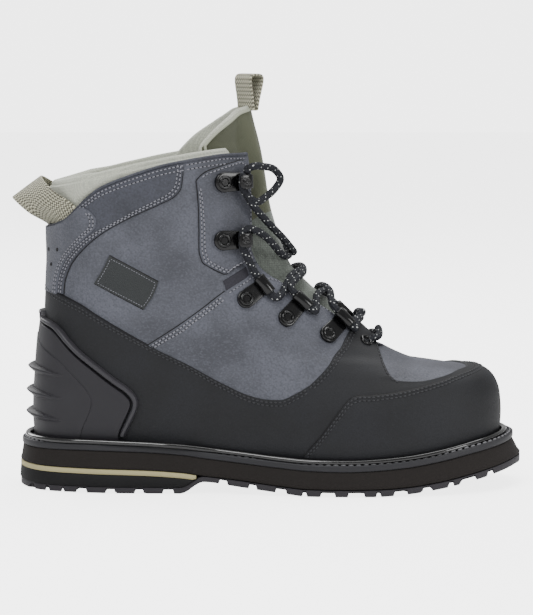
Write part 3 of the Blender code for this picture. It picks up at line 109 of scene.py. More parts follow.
CUFF_TOP = np.array((
    (0.0, 12.00), (0.55, 11.98), (1.00, 11.99), (1.36, 12.02), (1.75, 12.05), (2.25, 12.07),
    (2.50, 12.06), (PI, 12.0),
))
TONGUE_TOP_OUTER = np.array(((0.0, 13.42), (0.25, 13.38), (0.55, 13.10), (0.80, 12.75), (1.02, 12.25)))
TONGUE_TOP_INNER = np.array(((0.0, 13.42), (0.30, 13.40), (0.70, 13.10), (1.05, 12.65), (1.34, 12.02)))


def hermite(nodes, values, at):
    """Shape-preserving cubic through nodes. values has a row for each node, at any shape."""
    at = np.asarray(at, float)
    flat = np.clip(at.ravel(), nodes[0], nodes[-1])
    rows = np.asarray(values, float).reshape(len(nodes), -1)
    step = np.diff(nodes)[:, None]
    slope = np.diff(rows, axis=0) / step
    tangent = np.zeros_like(rows)
    before, after = slope[:-1], slope[1:]
    near, far = 2 * step[1:] + step[:-1], step[1:] + 2 * step[:-1]
    same = before * after > 1e-12
    safe_before = np.where(same, before, 1.0)
    safe_after = np.where(same, after, 1.0)
    tangent[1:-1] = np.where(same, (near + far) / (near / safe_before + far / safe_after), 0.0)
    tangent[0], tangent[-1] = slope[0], slope[-1]
    low = np.clip(np.searchsorted(nodes, flat, side="right") - 1, 0, len(nodes) - 2)
    column = np.arange(flat.size) if rows.shape[1] > 1 else 0
    width = step[low, 0]
    t = (flat - nodes[low]) / width
    result = (
        rows[low, column] * (1 + 2 * t) * (1 - t) ** 2
        + rows[low + 1, column] * t * t * (3 - 2 * t)
        + width * t * (1 - t) * (tangent[low, column] * (1 - t) - tangent[low + 1, column] * t)
    )
    return result.reshape(at.shape)


def smoothstep(low, high, at):
    t = np.clip((np.asarray(at, float) - low) / (high - low), 0, 1)
    return t * t * (3 - 2 * t)


def unit(vectors):
    """Vectors scaled to length one, along their last axis."""
    return vectors / np.linalg.norm(vectors, axis=-1, keepdims=True)


def reach_along(path):
    """Distance along a path from its start, at each of its points."""
    return np.concatenate([[0], np.cumsum(np.linalg.norm(np.diff(path, axis=0), axis=1))])


def columns_at(values, at):
    """hermite() of each column of values, whose rows are the nodes 0, 1, 2 and on, at the same
    places."""
    values = np.asarray(values, float)
    tall = np.broadcast_to(values[:, :, None], values.shape + (len(at),))
    return hermite(np.arange(len(values), dtype=float), tall, np.tile(at, (values.shape[1], 1)))


def profile(column, x):
    return HEEL_SEAT * hermite(PROFILE[:, 0], PROFILE[:, column], (x - SOLE_BACK) / SOLE_LENGTH)


def oval(theta, ends, outer, inner):
    """Half-width round an oval: the sine of theta times a curve through the stated half-widths."""
    share = (1 - np.cos(theta)) / 2
    crest = 2 * np.sqrt(STATIONS[1:-1] * (1 - STATIONS[1:-1]))[:, None]
    stack = [np.vstack([ends[0][None], np.asarray(w) / crest, ends[1][None]]) for w in (outer, inner)]
    return np.sin(theta) * hermite(STATIONS, np.where(np.sin(theta) < 0, *stack), share)


def form(theta, ring):
    """Outer face of the lasted leather, in millimetres: closed rings whose ends, widths and heights
    come from RINGS, swung to the inner side at the toe."""
    theta, ring = np.broadcast_arrays(np.asarray(theta, float), np.asarray(ring, float))
    shape = theta.shape
    theta, ring = theta.ravel(), ring.ravel()
    at = {name: hermite(RING_NUMBERS, RING[name], ring) for name in RING_NAMES}
    share = (1 - np.cos(theta)) / 2
    length = LAST_LENGTH * (at["front"] - at["back"])
    x = HEEL_BACK + LAST_LENGTH * at["back"] + length * share
    ends = [np.sqrt(at[name] * BALL_WIDTH * length / 2) for name in ("heel_end", "toe_end")]
    outer = BALL_WIDTH * np.stack([at[name] for name in ("heel", "waist_out", "ball_out", "toe_out")])
    inner = BALL_WIDTH * np.stack([at[name] for name in ("heel", "waist_in", "ball_in", "toe_in")])
    y = oval(theta, ends, outer, inner)
    y = y + TOE_SWING * smoothstep(0.55, 1.0, (x - HEEL_BACK) / LAST_LENGTH)
    rise = at["rise_back"] + (at["rise_front"] - at["rise_back"]) * share
    rise = rise + at["bow"] * np.sin(PI * share)
    z = HEEL_SEAT + at["hug"] * (profile(WELT_TOP, x) - HEEL_SEAT) + UPPER_HEIGHT * rise
    return np.stack([x, y, z + GAP], axis=-1).reshape(*shape, 3)


def outward(theta, ring):
    """Unit normal of form(), from small steps along both of its directions."""
    step = 1e-3
    along = form(theta + step, ring) - form(theta - step, ring)
    up = form(theta, np.minimum(ring + step, 14)) - form(theta, np.maximum(ring - step, 0))
    return unit(np.cross(up, along))


# Soft folds and hollows of the leather: centre on the side view, the way that each runs in degrees,
# its half-length and half-width, and its depth (less than 0 for a hollow)
FOLDS = (
    (28.0, 150.0, 62.0, 26.0, 9.0, -0.9), (52.0, 158.0, 70.0, 30.0, 10.0, 0.7),
    (40.0, 118.0, 25.0, 30.0, 8.0, -0.8), (84.0, 112.0, -35.0, 26.0, 7.0, -0.9),
    (72.0, 100.0, -30.0, 30.0, 8.0, 0.7), (118.0, 92.0, -38.0, 22.0, 6.0, -0.8),
    (140.0, 88.0, -50.0, 18.0, 5.0, 0.6), (12.0, 140.0, 75.0, 22.0, 7.0, 0.6),
    (205.0, 70.0, 8.0, 22.0, 5.0, -0.5), (196.0, 76.0, -20.0, 15.0, 4.0, -0.6),
    (60.0, 60.0, 4.0, 40.0, 10.0, 0.4), (128.0, 45.0, 60.0, 16.0, 6.0, -0.5),
    (180.0, 40.0, 10.0, 30.0, 9.0, 0.4), (225.0, 50.0, 20.0, 16.0, 8.0, -0.35),
)


def wear(place):
    """Height of the listed folds at points of the form: a sum of long soft bumps."""
    height = np.zeros(place.shape[:-1])
    for x, z, turn, long, wide, depth in FOLDS:
        angle = math.radians(turn)
        dx, dz = place[..., 0] - x, place[..., 2] - z
        along = dx * math.cos(angle) + dz * math.sin(angle)
        across = dz * math.cos(angle) - dx * math.sin(angle)
        height = height + depth * np.exp(-((along / long) ** 2) - (across / wide) ** 2)
    return height


def lifted(theta, ring, height):
    """A point height above the worn leather, along the form's normal."""
    theta, ring, height = np.broadcast_arrays(
        np.asarray(theta, float), np.asarray(ring, float), np.asarray(height, float)
    )
    place = form(theta, ring)
    return place + outward(theta, ring) * (height + wear(place))[..., None]


SEARCH_THETA, SEARCH_RING = np.meshgrid(
    np.linspace(0.01, PI - 0.01, 120), np.linspace(0, 14, 141), indexing="ij")
SEARCH_FORM = form(-SEARCH_THETA, SEARCH_RING)[..., ::2].reshape(-1, 2)


def located(points):
    """theta and ring of each x, z of a line drawn on the outer side's view: the nearest point of a
    coarse grid, then damped Newton steps on the whole line at once."""
    points = np.atleast_2d(np.asarray(points, float))
    best = np.argmin(((points[:, None] - SEARCH_FORM[None]) ** 2).sum(-1), axis=1)
    theta, ring = -SEARCH_THETA.ravel()[best], SEARCH_RING.ravel()[best]
    step = 1e-3
    for _ in range(14):
        here = form(theta, ring)
        by_theta = (form(theta + step, ring) - here) / step
        by_ring = (form(theta, ring + step) - here) / step
        jacobian = np.stack([by_theta[:, ::2], by_ring[:, ::2]], axis=-1)
        miss = points - here[:, ::2]
        square = np.einsum("nij,nik->njk", jacobian, jacobian) + np.eye(2) * 2.0
        move = np.linalg.solve(square, np.einsum("nij,ni->nj", jacobian, miss)[..., None])[..., 0]
        theta = np.clip(theta + np.clip(move[:, 0], -0.1, 0.1), -PI, 0)
        ring = np.clip(ring + np.clip(move[:, 1], -0.5, 0.5), 0, 14)
    return np.stack([theta, ring], axis=1)


def throat_angle(ring):
    return PI - hermite(THROAT[:, 0], THROAT[:, 1], ring)


def curve(points, count):
    """Curve through points, its tangents from their neighbours, at even distances along it."""
    points = np.asarray(points, float)
    reach = reach_along(points)
    tangent = np.gradient(points, reach, axis=0)
    at = np.linspace(0.0, reach[-1], count)
    low = np.clip(np.searchsorted(reach, at, side="right") - 1, 0, len(reach) - 2)
    width = (reach[low + 1] - reach[low])[:, None]
    t = (at - reach[low])[:, None] / width
    return (
        points[low] * (1 + 2 * t) * (1 - t) ** 2 + points[low + 1] * t * t * (3 - 2 * t)
        + width * (t * (1 - t) ** 2 * tangent[low] - t * t * (1 - t) * tangent[low + 1])
    )


# Meshes

def mesh_piece(name, points, faces, look, uv=None):
    """Object from points in millimetres and faces, riding on the boot's one body. uv has a pair for
    each point."""
    mesh = bpy.data.meshes.new(name)
    mesh.vertices.add(len(points))
    mesh.vertices.foreach_set("co", (points * MM).ravel())
    mesh.loops.add(faces.size)
    mesh.loops.foreach_set("vertex_index", faces.ravel())
    mesh.polygons.add(len(faces))
    mesh.polygons.foreach_set("loop_start", np.arange(len(faces)) * faces.shape[1])
    if uv is not None:
        layer = mesh.uv_layers.new(name="UVMap")
        layer.data.foreach_set("uv", uv[faces.ravel()].ravel())
    mesh.update(calc_edges=True)
    mesh.validate()
    mesh.shade_smooth()
    mesh.materials.append(look)
    item = bpy.data.objects.new(name, mesh)
    bpy.context.scene.collection.objects.link(item)
    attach(item, "root")
    return item


def quads(rows, columns, wrap_columns=False, wrap_rows=False, start=0):
    """Faces of a grid of points, turned outward for a grid whose rows go up the form and whose
    columns go round it with theta."""
    row = np.arange(rows if wrap_rows else rows - 1)[:, None]
    column = np.arange(columns if wrap_columns else columns - 1)[None]
    above, beside = (row + 1) % rows, (column + 1) % columns
    corners = [row * columns + column, above * columns + column, above * columns + beside,
               row * columns + beside]
    return np.stack(np.broadcast_arrays(*corners), axis=-1).reshape(-1, 4) + start


def oriented(points, faces, facing, pick=None):
    """Faces turned so that the one at pick, by default the middle one, looks along facing."""
    a, b, c, d = points.reshape(-1, 3)[faces[len(faces) // 2 if pick is None else pick]]
    return faces if np.cross(c - a, d - b) @ facing > 0 else faces[:, ::-1]


def joined(name, parts, look):
    """One piece from several grids, each a tuple of points, faces and, where a look reads it, uv."""
    points, faces, uvs, start = [], [], [], 0
    for grid, corners, *uv in parts:
        flat = grid.reshape(-1, 3)
        points.append(flat)
        faces.append(corners + start)
        uvs.append(uv[0].reshape(-1, 2) if uv else np.zeros((len(flat), 2)))
        start += len(flat)
    points, faces, uvs = [np.concatenate(rows) for rows in (points, faces, uvs)]
    return mesh_piece(name, points, faces, look, uvs)


def roll(distance, thickness, radius):
    """Height of a skived edge: a quarter round that rises from under the leather to thickness."""
    t = np.clip(distance / radius, 0, 1)
    return -0.35 + (thickness + 0.35) * np.sqrt(1 - (1 - t) ** 2)


EDGE_STEPS = np.array((0.0, 0.12, 0.3, 0.55, 0.85, 1.2, 1.8))


class Patch:
    """A panel between two lines of theta and ring, low and high, with as many points each. Its rows
    run from low to high, closer together at the edges that are rolled."""

    def __init__(self, low, high, rows, thickness, roll_low=True, roll_high=True, radius=1.0,
                 wrapped=False):
        self.low, self.high, self.thickness, self.wrapped = low, high, thickness, wrapped
        self.rolls, self.radius = (roll_low, roll_high), radius
        roll_low, roll_high = bool(np.any(roll_low)), bool(np.any(roll_high))
        span = np.linspace(0, 1, 9)[:, None, None]
        middle = form(*np.moveaxis(low + (high - low) * span, -1, 0))
        self.width = np.maximum(np.linalg.norm(np.diff(middle, axis=0), axis=-1).sum(0), 0.2)
        even = np.linspace(0, 1, rows)[:, None] * np.ones_like(self.width)
        steps = EDGE_STEPS[:, None] * radius / self.width
        steps = np.minimum(steps, np.linspace(0, 0.45, len(EDGE_STEPS))[:, None])
        inner = steps[-1] * roll_low + (1 - steps[-1] * roll_low - steps[-1] * roll_high) * even
        parts = [steps[:-1]] if roll_low else []
        parts.append(inner)
        if roll_high:
            parts.append(1 - steps[:-1][::-1])
        self.share = np.concatenate(parts)

    def at(self, share):
        """theta and ring at a share of the way from low to high."""
        share = np.asarray(share)[..., None]
        return self.low + (self.high - self.low) * share

    def line(self, inset, high=True):
        """theta and ring along the edge, inset millimetres in from it."""
        share = inset / self.width
        return self.at(1 - share if high else share)


def bead_template(around=6, along=5):
    """Small capsule along +X, one unit long and one across, as points and faces."""
    t = np.linspace(-1, 1, along)[:, None]
    angle = np.linspace(0, 2 * PI, around, endpoint=False)[None]
    radius = np.sqrt(np.clip(1 - (np.abs(t) ** 3.2), 0.02, 1)) * 0.5
    section = np.broadcast_arrays(t * 0.5, radius * np.cos(angle), radius * np.sin(angle))
    return np.stack(section, axis=-1).reshape(-1, 3), quads(along, around, wrap_columns=True)[:, ::-1]


def placed(template, centre, along, up, size):
    """Copies of a template at each centre, its +X along and its +Z up, with one size for all."""
    points, faces = template
    along = unit(along)
    up = unit(up - along * (up * along).sum(1, keepdims=True))
    frames = np.stack([along, np.cross(up, along), up], axis=1)
    world = np.einsum("pk,nkc->npc", points * size, frames) + centre[:, None]
    every = faces[None] + np.arange(len(centre))[:, None, None] * len(points)
    return world, every.reshape(-1, 4)


def spaced(path, pitch, phase=0.0, probe=0.6):
    """Spots at an even pitch on a path, the path's direction at each, their distances along it, and
    those of the path's own points."""
    reach = reach_along(path)
    count = max(int(reach[-1] / pitch), 1)
    at = (np.arange(count) + 0.5 + phase) * reach[-1] / count
    at = at[at < reach[-1]]

    def there(distance):
        return np.stack([np.interp(distance, reach, path[:, k]) for k in range(3)], axis=1)

    return there(at), there(at + probe) - there(at - probe), at, reach


# Grids of the painted shade in the stitch holes and along the panels' edges, filled by the builders and
# joined at the end
PAINTED_SHADE_MARKS = []


def stitch_line(where, height, pitch=2.6, long=1.9, thick=0.75):
    """Row of thread stitches along a line of theta and ring, height above the leather, with dark
    capsules between them: painted shade in the awl's holes."""
    PAINTED_SHADE_MARKS.append(beads_along(where, height - 0.25, pitch, 0.5, pitch - long + 0.55, thick * 1.05))
    return beads_along(where, height, pitch, 0.0, long, thick)


def painted_edge_shade(patch, high, base, start=0, end=None):
    """Dark tube along the edge of a panel, painted shade where it lies on the one under it."""
    theta, ring = (patch.high if high else patch.low)[start:end].T
    PAINTED_SHADE_MARKS.append(tube(lifted(theta, ring, base + 0.1), 0.42, 6, caps=False))


def beads_along(where, height, pitch, phase, long, thick):
    """Row of small capsules along a line of theta and ring, height above the leather."""
    spot, ahead, at, reach = spaced(lifted(*where.T, height), pitch, phase)
    facing = outward(*[np.interp(at, reach, column) for column in where.T])
    return placed(bead_template(), spot, ahead, facing, (long, thick, thick * 0.8))


def tube(path, radius, around=16, closed=False, caps=True):
    """Round tube along a path: circles in frames carried along it without twist, with uv in
    millimetres along it and turns round it."""
    both_ways = np.roll(path, -1, axis=0) - np.roll(path, 1, axis=0)
    ahead = unit(both_ways if closed else np.gradient(path, axis=0))
    side = [unit(np.cross(ahead[0], (0.13, 0.31, 0.94)))]
    for direction in ahead[1:]:
        side.append(unit(side[-1] - direction * (side[-1] @ direction)))
    side = np.array(side)
    other = np.cross(ahead, side)
    angle = np.linspace(0, 2 * PI, around, endpoint=False)[:, None]
    ring = (np.cos(angle) * side[:, None] + np.sin(angle) * other[:, None]) * radius
    points = path[:, None] + ring
    uv = np.stack(np.broadcast_arrays(reach_along(path)[:, None], angle.T / (2 * PI)), axis=-1)
    faces = quads(len(path), around, wrap_columns=True, wrap_rows=closed)[:, ::-1]
    if caps and not closed:
        ends = [path[k] + ahead[k] * (way * radius * push) + ring[k] * step for k, way in ((0, -1), (-1, 1))
                for step, push in ((0.75, 0.35), (0.35, 0.55), (0.02, 0.62))]
        points = np.concatenate([ends[2::-1], points, ends[3:]])
        uv = np.concatenate([np.repeat(uv[:1], 3, 0), uv, np.repeat(uv[-1:], 3, 0)])
        faces = quads(len(points), around, wrap_columns=True)[:, ::-1]
    return points, faces, uv


def side_point(at, rise):
    """x and z of a point given in shares of the last's length and the upper's height."""
    return HEEL_BACK + LAST_LENGTH * at, HEEL_SEAT + UPPER_HEIGHT * rise


def outline(*points, count=None):
    """theta and ring of a line through x, z points on the outer side's view, smoothed and evenly
    spaced when count is given."""
    return located(curve(points, count) if count else points)


def seat(x, z, side, height):
    """Place on the leather at x and z of one side, height above it, and its facing."""
    theta, ring = located([(x, z)])[0]
    theta = theta if side < 0 else -theta
    return lifted(theta, ring, height), outward(theta, ring)


def leather_top(theta):
    return hermite(LEATHER_TOP[:, 0], LEATHER_TOP[:, 1], np.abs(theta))


# Camera, light and floor

MM_PER_PIXEL, DISTANCE, LENS_HEIGHT = 0.625, 1575.0, 277.0
AIM = np.array((114.6, 0.0, 110.0))


def build_camera():
    data = bpy.data.cameras.new("camera")
    item = bpy.data.objects.new("camera", data)
    bpy.context.scene.collection.objects.link(item)
    place = np.array((AIM[0], -DISTANCE, LENS_HEIGHT))
    reach = float(np.linalg.norm(AIM - place))
    data.sensor_fit = "VERTICAL"
    data.sensor_height = data.sensor_width = 36.0
    data.lens = 36.0 * reach / MM_PER_PIXEL / 615.0
    data.clip_start, data.clip_end = 0.1, 20.0
    item.location = Vector(place * MM)
    item.rotation_euler = Vector(AIM - place).to_track_quat("-Z", "Y").to_euler()
    bpy.context.scene.camera = item


def build_light(name, place, size, power):
    data = bpy.data.lights.new(name, "AREA")
    data.energy, data.size = power, size
    item = bpy.data.objects.new(name, data)
    bpy.context.scene.collection.objects.link(item)
    item.location = place
    item.rotation_euler = (Vector((0.1, 0.0, 0.1)) - Vector(place)).to_track_quat("-Z", "Y").to_euler()
    return item


def build_stage():
    floor = bpy.data.meshes.new("floor")
    floor.from_pydata([(-6, -6, 0), (6, -6, 0), (6, 6, 0), (-6, 6, 0)], [], [(0, 1, 2, 3)])
    paper = Look("floor_paper", Base_Color=(0.8, 0.8, 0.8, 1.0), Emission_Strength=3.4)
    paper.feed("Roughness", paper.place.noise(3.0) * 0.1 + 0.85)
    seen = Value(paper.tree, paper.tree.nodes.new("ShaderNodeLightPath").outputs["Is Camera Ray"])
    paper.feed("Emission Color", seen.mix((0.06, 0.06, 0.06, 1.0), (1.0, 1.0, 1.0, 1.0)))
    floor.materials.append(paper.material)
    item = bpy.data.objects.new("floor", floor)
    bpy.context.scene.collection.objects.link(item)
    item.location.z = -0.0004
    world = bpy.data.worlds.new("studio")
    bpy.context.scene.world = world
    world.use_nodes = True
    sky = world.node_tree.nodes["Background"]
    sky.inputs["Color"].default_value = (1, 1, 1, 1)
    seen = Value(world.node_tree, world.node_tree.nodes.new("ShaderNodeLightPath").outputs["Is Camera Ray"])
    world.node_tree.links.new((seen * 3.6 + 0.45).socket, sky.inputs["Strength"])
    build_light("key_light", (-0.4, -1.3, 1.6), 1.0, 26.0)
    build_light("top_light", (0.4, 0.4, 1.8), 1.4, 31.0)
    build_light("fill_light", (1.5, -1.1, 0.6), 0.6, 10.0)
    build_light("back_light", (-1.0, 1.2, 0.9), 0.9, 14.0)


# Materials

class Value:
    """A socket in a shader, with the sums that it takes part in."""

    def __init__(self, tree, socket):
        self.tree, self.socket = tree, socket

    def node(self, kind, settings=(), inputs=(), output=0):
        """Another node of this tree: its settings first, then its values and links."""
        made = self.tree.nodes.new(kind)
        for name, value in dict(settings).items():
            setattr(made, name, value)
        for name, value in dict(inputs).items():
            if isinstance(value, Value):
                self.tree.links.new(value.socket, made.inputs[name])
            else:
                made.inputs[name].default_value = value
        return Value(self.tree, made.outputs[output])

    def maths(self, operation, *values):
        return self.node("ShaderNodeMath", {"operation": operation}, dict(enumerate(values)))

    def wave(self, kind="SINE"):
        return self.maths(kind, self)

    def __add__(self, other):
        return self.maths("ADD", self, other)

    def __radd__(self, other):
        return self.maths("ADD", other, self)

    def __sub__(self, other):
        return self.maths("SUBTRACT", self, other)

    def __rsub__(self, other):
        return self.maths("SUBTRACT", other, self)

    def __mul__(self, other):
        return self.maths("MULTIPLY", self, other)

    def __rmul__(self, other):
        return self.maths("MULTIPLY", other, self)

    def __truediv__(self, other):
        return self.maths("DIVIDE", self, other)

    def ramp(self, low, high):
        """0 below low, 1 above high and smooth between."""
        return self.node("ShaderNodeMapRange", {"interpolation_type": "SMOOTHSTEP"},
                         {"Value": self, "From Min": low, "From Max": high})

    def noise(self, scale, detail=3.0, rough=0.5):
        """Noise over a place in metres, about 0.5."""
        return self.node("ShaderNodeTexNoise", {}, {"Vector": self, "Scale": scale, "Detail": detail,
                                                    "Roughness": rough})

    def cells(self, scale, feature="F1", randomness=1.0):
        return self.node("ShaderNodeTexVoronoi", {"feature": feature},
                         {"Vector": self, "Scale": scale, "Randomness": randomness})

    def mix(self, first, second):
        """Colour between two, by this factor."""
        return self.node("ShaderNodeMix", {"data_type": "RGBA"}, {0: self, 6: first, 7: second}, 2)

    def part(self, k):
        return self.node("ShaderNodeSeparateXYZ", {}, {0: self}, k)

    def scaled(self, x, y, z):
        return self.node("ShaderNodeVectorMath", {"operation": "MULTIPLY"}, {0: self, 1: (x, y, z)})


def rgb(colour, share=1.0):
    """Linear colour from display values, made share times as bright."""
    values = [value * share for value in colour]
    return tuple(((v / 255 + 0.055) / 1.055) ** 2.4 if v > 10 else v / 255 / 12.92 for v in values) + (1.0,)


class Look:
    """A material: its Principled shader, and the places that its patterns are laid over."""

    def __init__(self, name, **constants):
        self.material = bpy.data.materials.new(name)
        self.material.use_nodes = True
        self.tree = self.material.node_tree
        self.shader = self.tree.nodes["Principled BSDF"]
        for key, value in constants.items():
            self.shader.inputs[key.replace("_", " ")].default_value = value
        coordinates = self.tree.nodes.new("ShaderNodeTexCoord")
        self.place = Value(self.tree, coordinates.outputs["Object"])
        self.uv = Value(self.tree, coordinates.outputs["UV"])

    def feed(self, name, value):
        self.tree.links.new(value.socket, self.shader.inputs[name])

    def finished(self, tone, rough, height, depth, strength=0.9):
        """The material, fed with a colour, a roughness and a height of 0 to 1 that stands for depth
        metres."""
        bump = {"Height": height, "Distance": depth, "Strength": strength}
        self.feed("Base Color", tone)
        self.feed("Roughness", rough)
        self.feed("Normal", height.node("ShaderNodeBump", {}, bump))
        return self.material


def plain(name, colour, rough, **constants):
    """Nearly even finish, with a faint cloud in its gloss."""
    look = Look(name, Base_Color=rgb(colour), **constants)
    look.feed("Roughness", look.place.noise(45.0) * 0.12 + (rough - 0.06))
    return look.material


def leather(name, colour, grain=900.0, depth=0.0005, rough=0.6, dirt=0.26):
    """Matt coated leather: pebbled grain, streaks along the boot, soft clouds and scuffs."""
    look = Look(name, Specular_IOR_Level=0.35)
    cloud = look.place.noise(28.0, 4.0)
    streak = look.place.scaled(0.6, 1.0, 1.0).noise(1100.0, 4.0)
    pebbles = look.place.cells(grain, "SMOOTH_F1")
    base, dark, light = [rgb(colour, share) for share in (1.0, 1 - dirt, 1 + dirt * 0.7)]
    tone = cloud.ramp(0.32, 0.66).mix(dark, base)
    tone = (streak.ramp(0.44, 0.68) * 0.3).mix(tone, light)
    tone = (pebbles.ramp(0.3, 0.7) * 0.5).mix(tone, dark)
    return look.finished(tone, cloud * 0.16 + (rough - 0.08), 1.0 - pebbles * 0.7 + streak * 0.5, depth)


def knit(name, colour, scale=1100.0):
    """Soft knitted cloth: small rows of loops, with fuzz in its colour."""
    look = Look(name, Sheen_Weight=0.25, Sheen_Roughness=0.5)
    mesh = look.place.cells(scale, "F1", 0.35)
    cloud = look.place.noise(60.0, 3.0)
    tone = (mesh * 0.9).ramp(0.15, 0.75).mix(rgb(colour), rgb(colour, 0.8))
    tone = (cloud.ramp(0.4, 0.7) * 0.25).mix(tone, rgb(colour, 0.88))
    return look.finished(tone, cloud * 0.06 + 0.92, 1.0 - mesh, 0.0003)


def weave(name, colour, pitch=0.0011, depth=0.00025, rough=0.85, contrast=0.35):
    """Woven cloth over uv in units of 100 mm: threads over and under by turns."""
    look = Look(name, Sheen_Weight=0.15)
    rate = 2 * PI / pitch / 10.0
    height = (look.uv.part(0) * rate).wave() * (look.uv.part(1) * rate).wave() * 0.5 + 0.5
    cloud = look.place.noise(50.0)
    tone = (height * contrast).mix(rgb(colour), rgb(colour, 0.6))
    tone = (cloud.ramp(0.4, 0.7) * 0.3).mix(tone, rgb(colour, 0.85))
    return look.finished(tone, cloud * 0.05 + rough, height, depth)


def rubber(name, colour, rough=0.6, grain=1500.0, depth=0.00006, dust=0.25):
    """Moulded rubber: fine sandy grain, with pale dust in its colour."""
    look = Look(name, Specular_IOR_Level=0.3)
    sand = look.place.noise(grain, 2.0)
    cloud = look.place.noise(35.0, 4.0)
    pale = rgb([v + (150 - v) * dust for v in colour])
    tone = (cloud.ramp(0.45, 0.8) * 0.5).mix(rgb(colour), pale)
    return look.finished(tone, cloud * 0.2 + (rough - 0.1), sand, depth, 0.8)


def braid(name, colour, fleck):
    """Round lace: strands crossed four each way over its uv, in millimetres along and turns round,
    with a pale fleck at every other crossing."""
    look = Look(name, Specular_IOR_Level=0.3)
    u, v = look.uv.part(0), look.uv.part(1)
    left = (u * 1.9 + v * 25.13).wave()
    right = (u * 1.9 - v * 25.13).wave()
    drift = (u * 0.95 + v * 12.57).wave()
    height = left * right * 0.5 + 0.5
    spot = left.maths("MINIMUM", left.maths("MINIMUM", left, right), drift)
    tone = (height * 0.6).mix(rgb(colour, 0.62), rgb(colour))
    tone = spot.ramp(0.4, 0.62).mix(tone, rgb(fleck))
    return look.finished(tone, height * 0.1 + 0.75, height, 0.0005)


def ribbed(name, colour, rib):
    """Webbing over uv in millimetres: dark ribs along it and fine threads across."""
    look = Look(name, Sheen_Weight=0.2)
    u, v = look.uv.part(0), look.uv.part(1)
    thread = (u * 2.6 + (v * 2.9).wave() * 1.7).wave()
    rows = (v * 5.8 + 0.8).wave("COSINE")
    tone = thread.ramp(-0.3, 0.9).mix(rgb(rib), rgb(colour))
    tone = (rows.ramp(0.0, 1.0) * 0.35).mix(tone, rgb(colour, 0.6))
    return look.finished(tone, thread * 0.04 + 0.86, rows * 0.25 + thread * 0.3 + 0.5, 0.0006)


LOOKS = {
    "leather": leather("grey_leather", (86, 88, 97)),
    "band": leather("dark_collar_leather", (66, 68, 77)),
    "rand": leather("rand_coating", (25, 26, 30), 1300.0, 0.00015, 0.62, 0.3),
    "counter": rubber("counter_plastic", (38, 37, 41), 0.5, 1800.0, 0.00005, 0.06),
    "rim": rubber("counter_rim_plastic", (52, 51, 55), 0.36, 1800.0, 0.00003, 0.05),
    "lining": knit("sage_lining", (196, 199, 184)),
    "tongue": weave("olive_cloth", (88, 91, 72)),
    "sage": knit("sage_tongue_cloth", (112, 118, 111), 900.0),
    "piping": plain("pale_piping", (160, 163, 146), 0.8),
    "webbing": ribbed("loop_webbing", (212, 209, 182), (72, 70, 54)),
    "foam": rubber("midsole_foam", (27, 23, 21), 0.8, 900.0, 0.00025, 0.06),
    "stripe": rubber("khaki_stripe", (170, 162, 122), 0.7, 1500.0, 0.00005, 0.1),
    "lift": rubber("lift_rubber", (17, 17, 18), 0.75, 1000.0, 0.00015, 0.04),
    "tread": rubber("tread_rubber", (46, 44, 48), 0.6, 1200.0, 0.00008, 0.06),
    "welt": rubber("welt_strip", (40, 40, 43), 0.5, 1500.0, 0.00006, 0.06),
    "bead": plain("welt_bead_gloss", (4, 4, 5), 0.2, Coat_Weight=0.7),
    "metal": plain("black_paint", (2, 2, 3), 0.22, Coat_Weight=0.2, Coat_Roughness=0.06,
                   Specular_IOR_Level=0.35),
    "lace": braid("braided_lace", (38, 40, 47), (184, 186, 184)),
    "label": weave("bare_patch_cloth", (40, 43, 44), 0.0016, 0.0002, 0.8, 0.25),
    "thread_pale": plain("pale_thread", (126, 126, 134), 0.75),
    "thread_welt": plain("welt_thread", (104, 104, 107), 0.7),
    # Near-black painted shade for the stitch holes, the vent holes and the panels' edges
    "hole": plain("painted_hole_shade", (8, 8, 9), 0.8),
    "flex": leather("flex_insert_cloth", (44, 43, 51), 1500.0, 0.0002, 0.7),
    "thread_dark": plain("dark_thread", (37, 38, 42), 0.6),
    "eyestay": leather("eyestay_leather", (82, 84, 93)),
}


# Upper

THROAT_BASE = 7.0
HALF_COLUMNS, LOW_ROWS, HIGH_ROWS = 150, 56, 80


def apron_ring(theta):
    """Ring of the raised seam round the apron in front of the throat."""
    nodes = np.array((2.18, 2.25, 2.35, 2.51, 2.80, PI))
    return hermite(nodes, np.array((4.15, 3.84, 3.77, 3.97, 4.45, 4.60)), np.abs(theta))


def apron_ridge(theta, ring):
    """Height of that seam: a rolled ridge, and a slight swell of the apron inside it."""
    away = (ring - apron_ring(theta)) * 11.0
    front = smoothstep(2.12, 2.26, np.abs(theta))
    ridge = (0.9 - 0.5 * smoothstep(2.5, 2.9, np.abs(theta))) * np.exp(-((away / 1.3) ** 2))
    return front * ridge * smoothstep(7.0, 5.5, ring)


def round_angles(count):
    """Angles round the boot, closer together at its sides."""
    even = np.linspace(-PI, PI, count, endpoint=False)
    return even + 0.10 * np.sin(2 * even)


